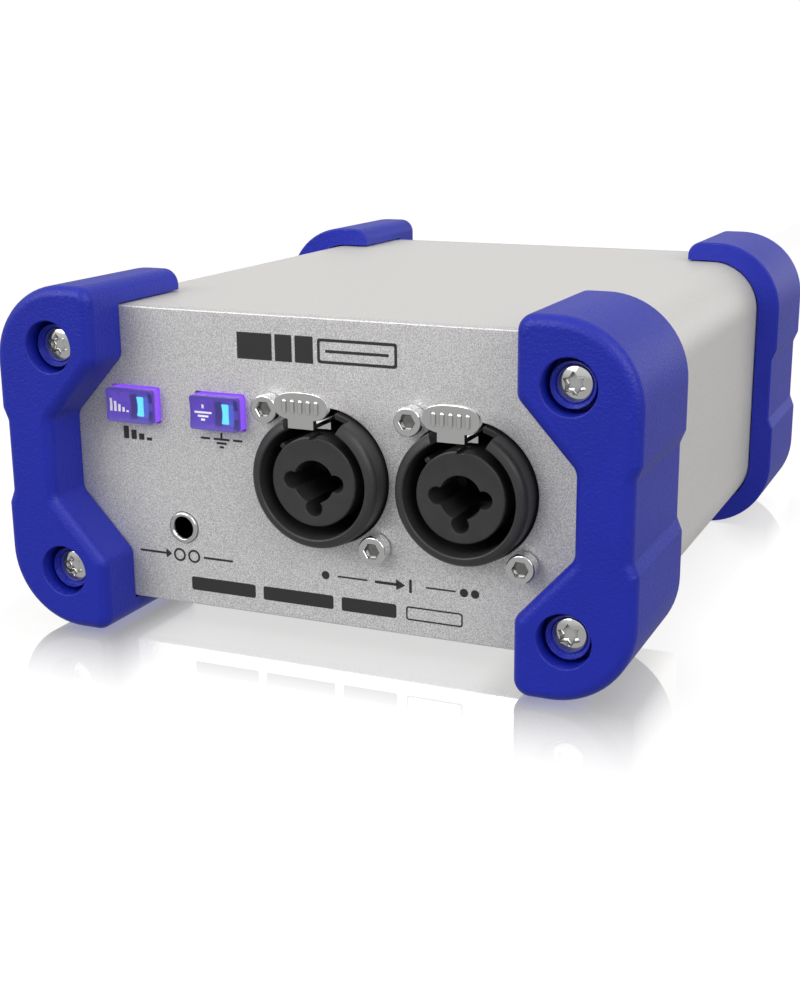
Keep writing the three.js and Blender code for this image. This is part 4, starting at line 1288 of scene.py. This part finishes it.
mesh = bpy.data.meshes.new("studio_floor")
mesh.from_pydata([(sx * FLOOR_HALF, sy * FLOOR_HALF, FLOOR_Z)
                  for sx, sy in ((-1, -1), (1, -1), (1, 1), (-1, 1))], [], [(0, 1, 2, 3)])
floor = link_object(mesh, "studio_floor")
mesh.materials.append(material("studio_floor", paint_floor, surface="AddShader"))
floor.visible_diffuse = floor.visible_glossy = False
floor.visible_shadow = floor.visible_transmission = False

# ----------------------------------------------------------------------- world
# brightness of the surroundings: (place from straight down 0 to straight up 1, grey)
SKY = [(0.0, 0.38), (0.40, 0.36), (0.5, 0.36), (0.56, 0.52), (0.66, 0.60), (0.85, 0.60),
       (1.0, 0.60)]
# azimuth (0 front, + to the right), elevation, half width, half height, strength
SOFTBOXES = [
    (0, 72, 0.40, 0.28, 0.6),
    (-38, 32, 0.42, 0.31, 3.2),
    (64, 34, 0.42, 0.34, 2.6),
    (180, 60, 0.6, 0.3, 0.3),
    (160, 6, 0.22, 0.13, 0.66),
]
SOFT_EDGE = 0.04
NEAR_ZERO = 0.02  # directions with less than this along a softbox's axis don't see it


def make_world():
    """Softboxes on a grey sky light the box; the camera sees a white backdrop."""
    world = bpy.data.worlds.new("studio")
    scene.world = world
    net = Net(world, "OutputWorld", "MixShader", "Generated")

    def along(axis):
        return net.node("VectorMath", {0: net.coord, 1: axis}, "Value", operation="DOT_PRODUCT")

    def softbox(azimuth, elevation, half_w, half_h, strength):
        turn, rise = math.radians(azimuth), math.radians(elevation)
        centre = Vector((math.sin(turn) * math.cos(rise), -math.cos(turn) * math.cos(rise),
                         math.sin(rise)))
        across = Vector((math.cos(turn), math.sin(turn), 0))
        upright = centre.cross(across)
        towards = along(centre)
        safe = towards.at_least(NEAR_ZERO)

        def band(axis, half):
            inside = half - abs(along(axis) / safe)
            return inside.ramp(span=(-SOFT_EDGE, SOFT_EDGE), smooth=True)

        mask = band(across, half_w) * band(upright, half_h)
        return mask * (towards > NEAR_ZERO) * strength

    place_up = net.math("MULTIPLY_ADD", along((0, 0, 1)), 0.5, 0.5)
    sky = net.node("ValToRGB", {0: place_up})
    elements = sky.socket.node.color_ramp.elements
    for position, _ in SKY[1:-1]:
        elements.new(position)
    for element, (position, grey) in zip(elements, SKY):
        element.position = position
        element.color = (grey, grey, grey, 1)
    total = net.node("RGBToBW", {0: sky})
    for values in SOFTBOXES:
        total = total + softbox(*values)
    studio = net.node("Background", {"Color": (1.0, 0.995, 0.985), "Strength": total})
    backdrop = net.node("Background", {"Color": (1, 1, 1), "Strength": 1.05})
    net.put(net.surface, 0, net.node("LightPath", output="Is Camera Ray"))
    net.put(net.surface, 1, studio)
    net.put(net.surface, 2, backdrop)


make_world()

# ---------------------------------------------------------------------- camera
# rotation vector from the world's axes to x right, y down, z forward
CAMERA_TURN = Vector((1.8146723064426256, 0.3585018715483974, -0.27538667457552507))

cam_data = bpy.data.cameras.new("camera")
cam = bpy.data.objects.new("camera", cam_data)
scene.collection.objects.link(cam)
to_view = Matrix.Rotation(CAMERA_TURN.length, 3, CAMERA_TURN.normalized())
rotation = Matrix([to_view[0], -to_view[1], -to_view[2]]).transposed()
cam.matrix_world = Matrix.Translation(CAMERA_AT) @ rotation.to_4x4()
cam_data.sensor_width = 36
cam_data.lens = 53.88192
cam_data.shift_x, cam_data.shift_y = -0.042309, -0.004985
cam_data.clip_start, cam_data.clip_end = 0.01, 100
scene.camera = cam

scene.view_settings.view_transform = "Standard"
scene.view_settings.look = "None"
scene.view_settings.exposure = 0
scene.view_settings.gamma = 1
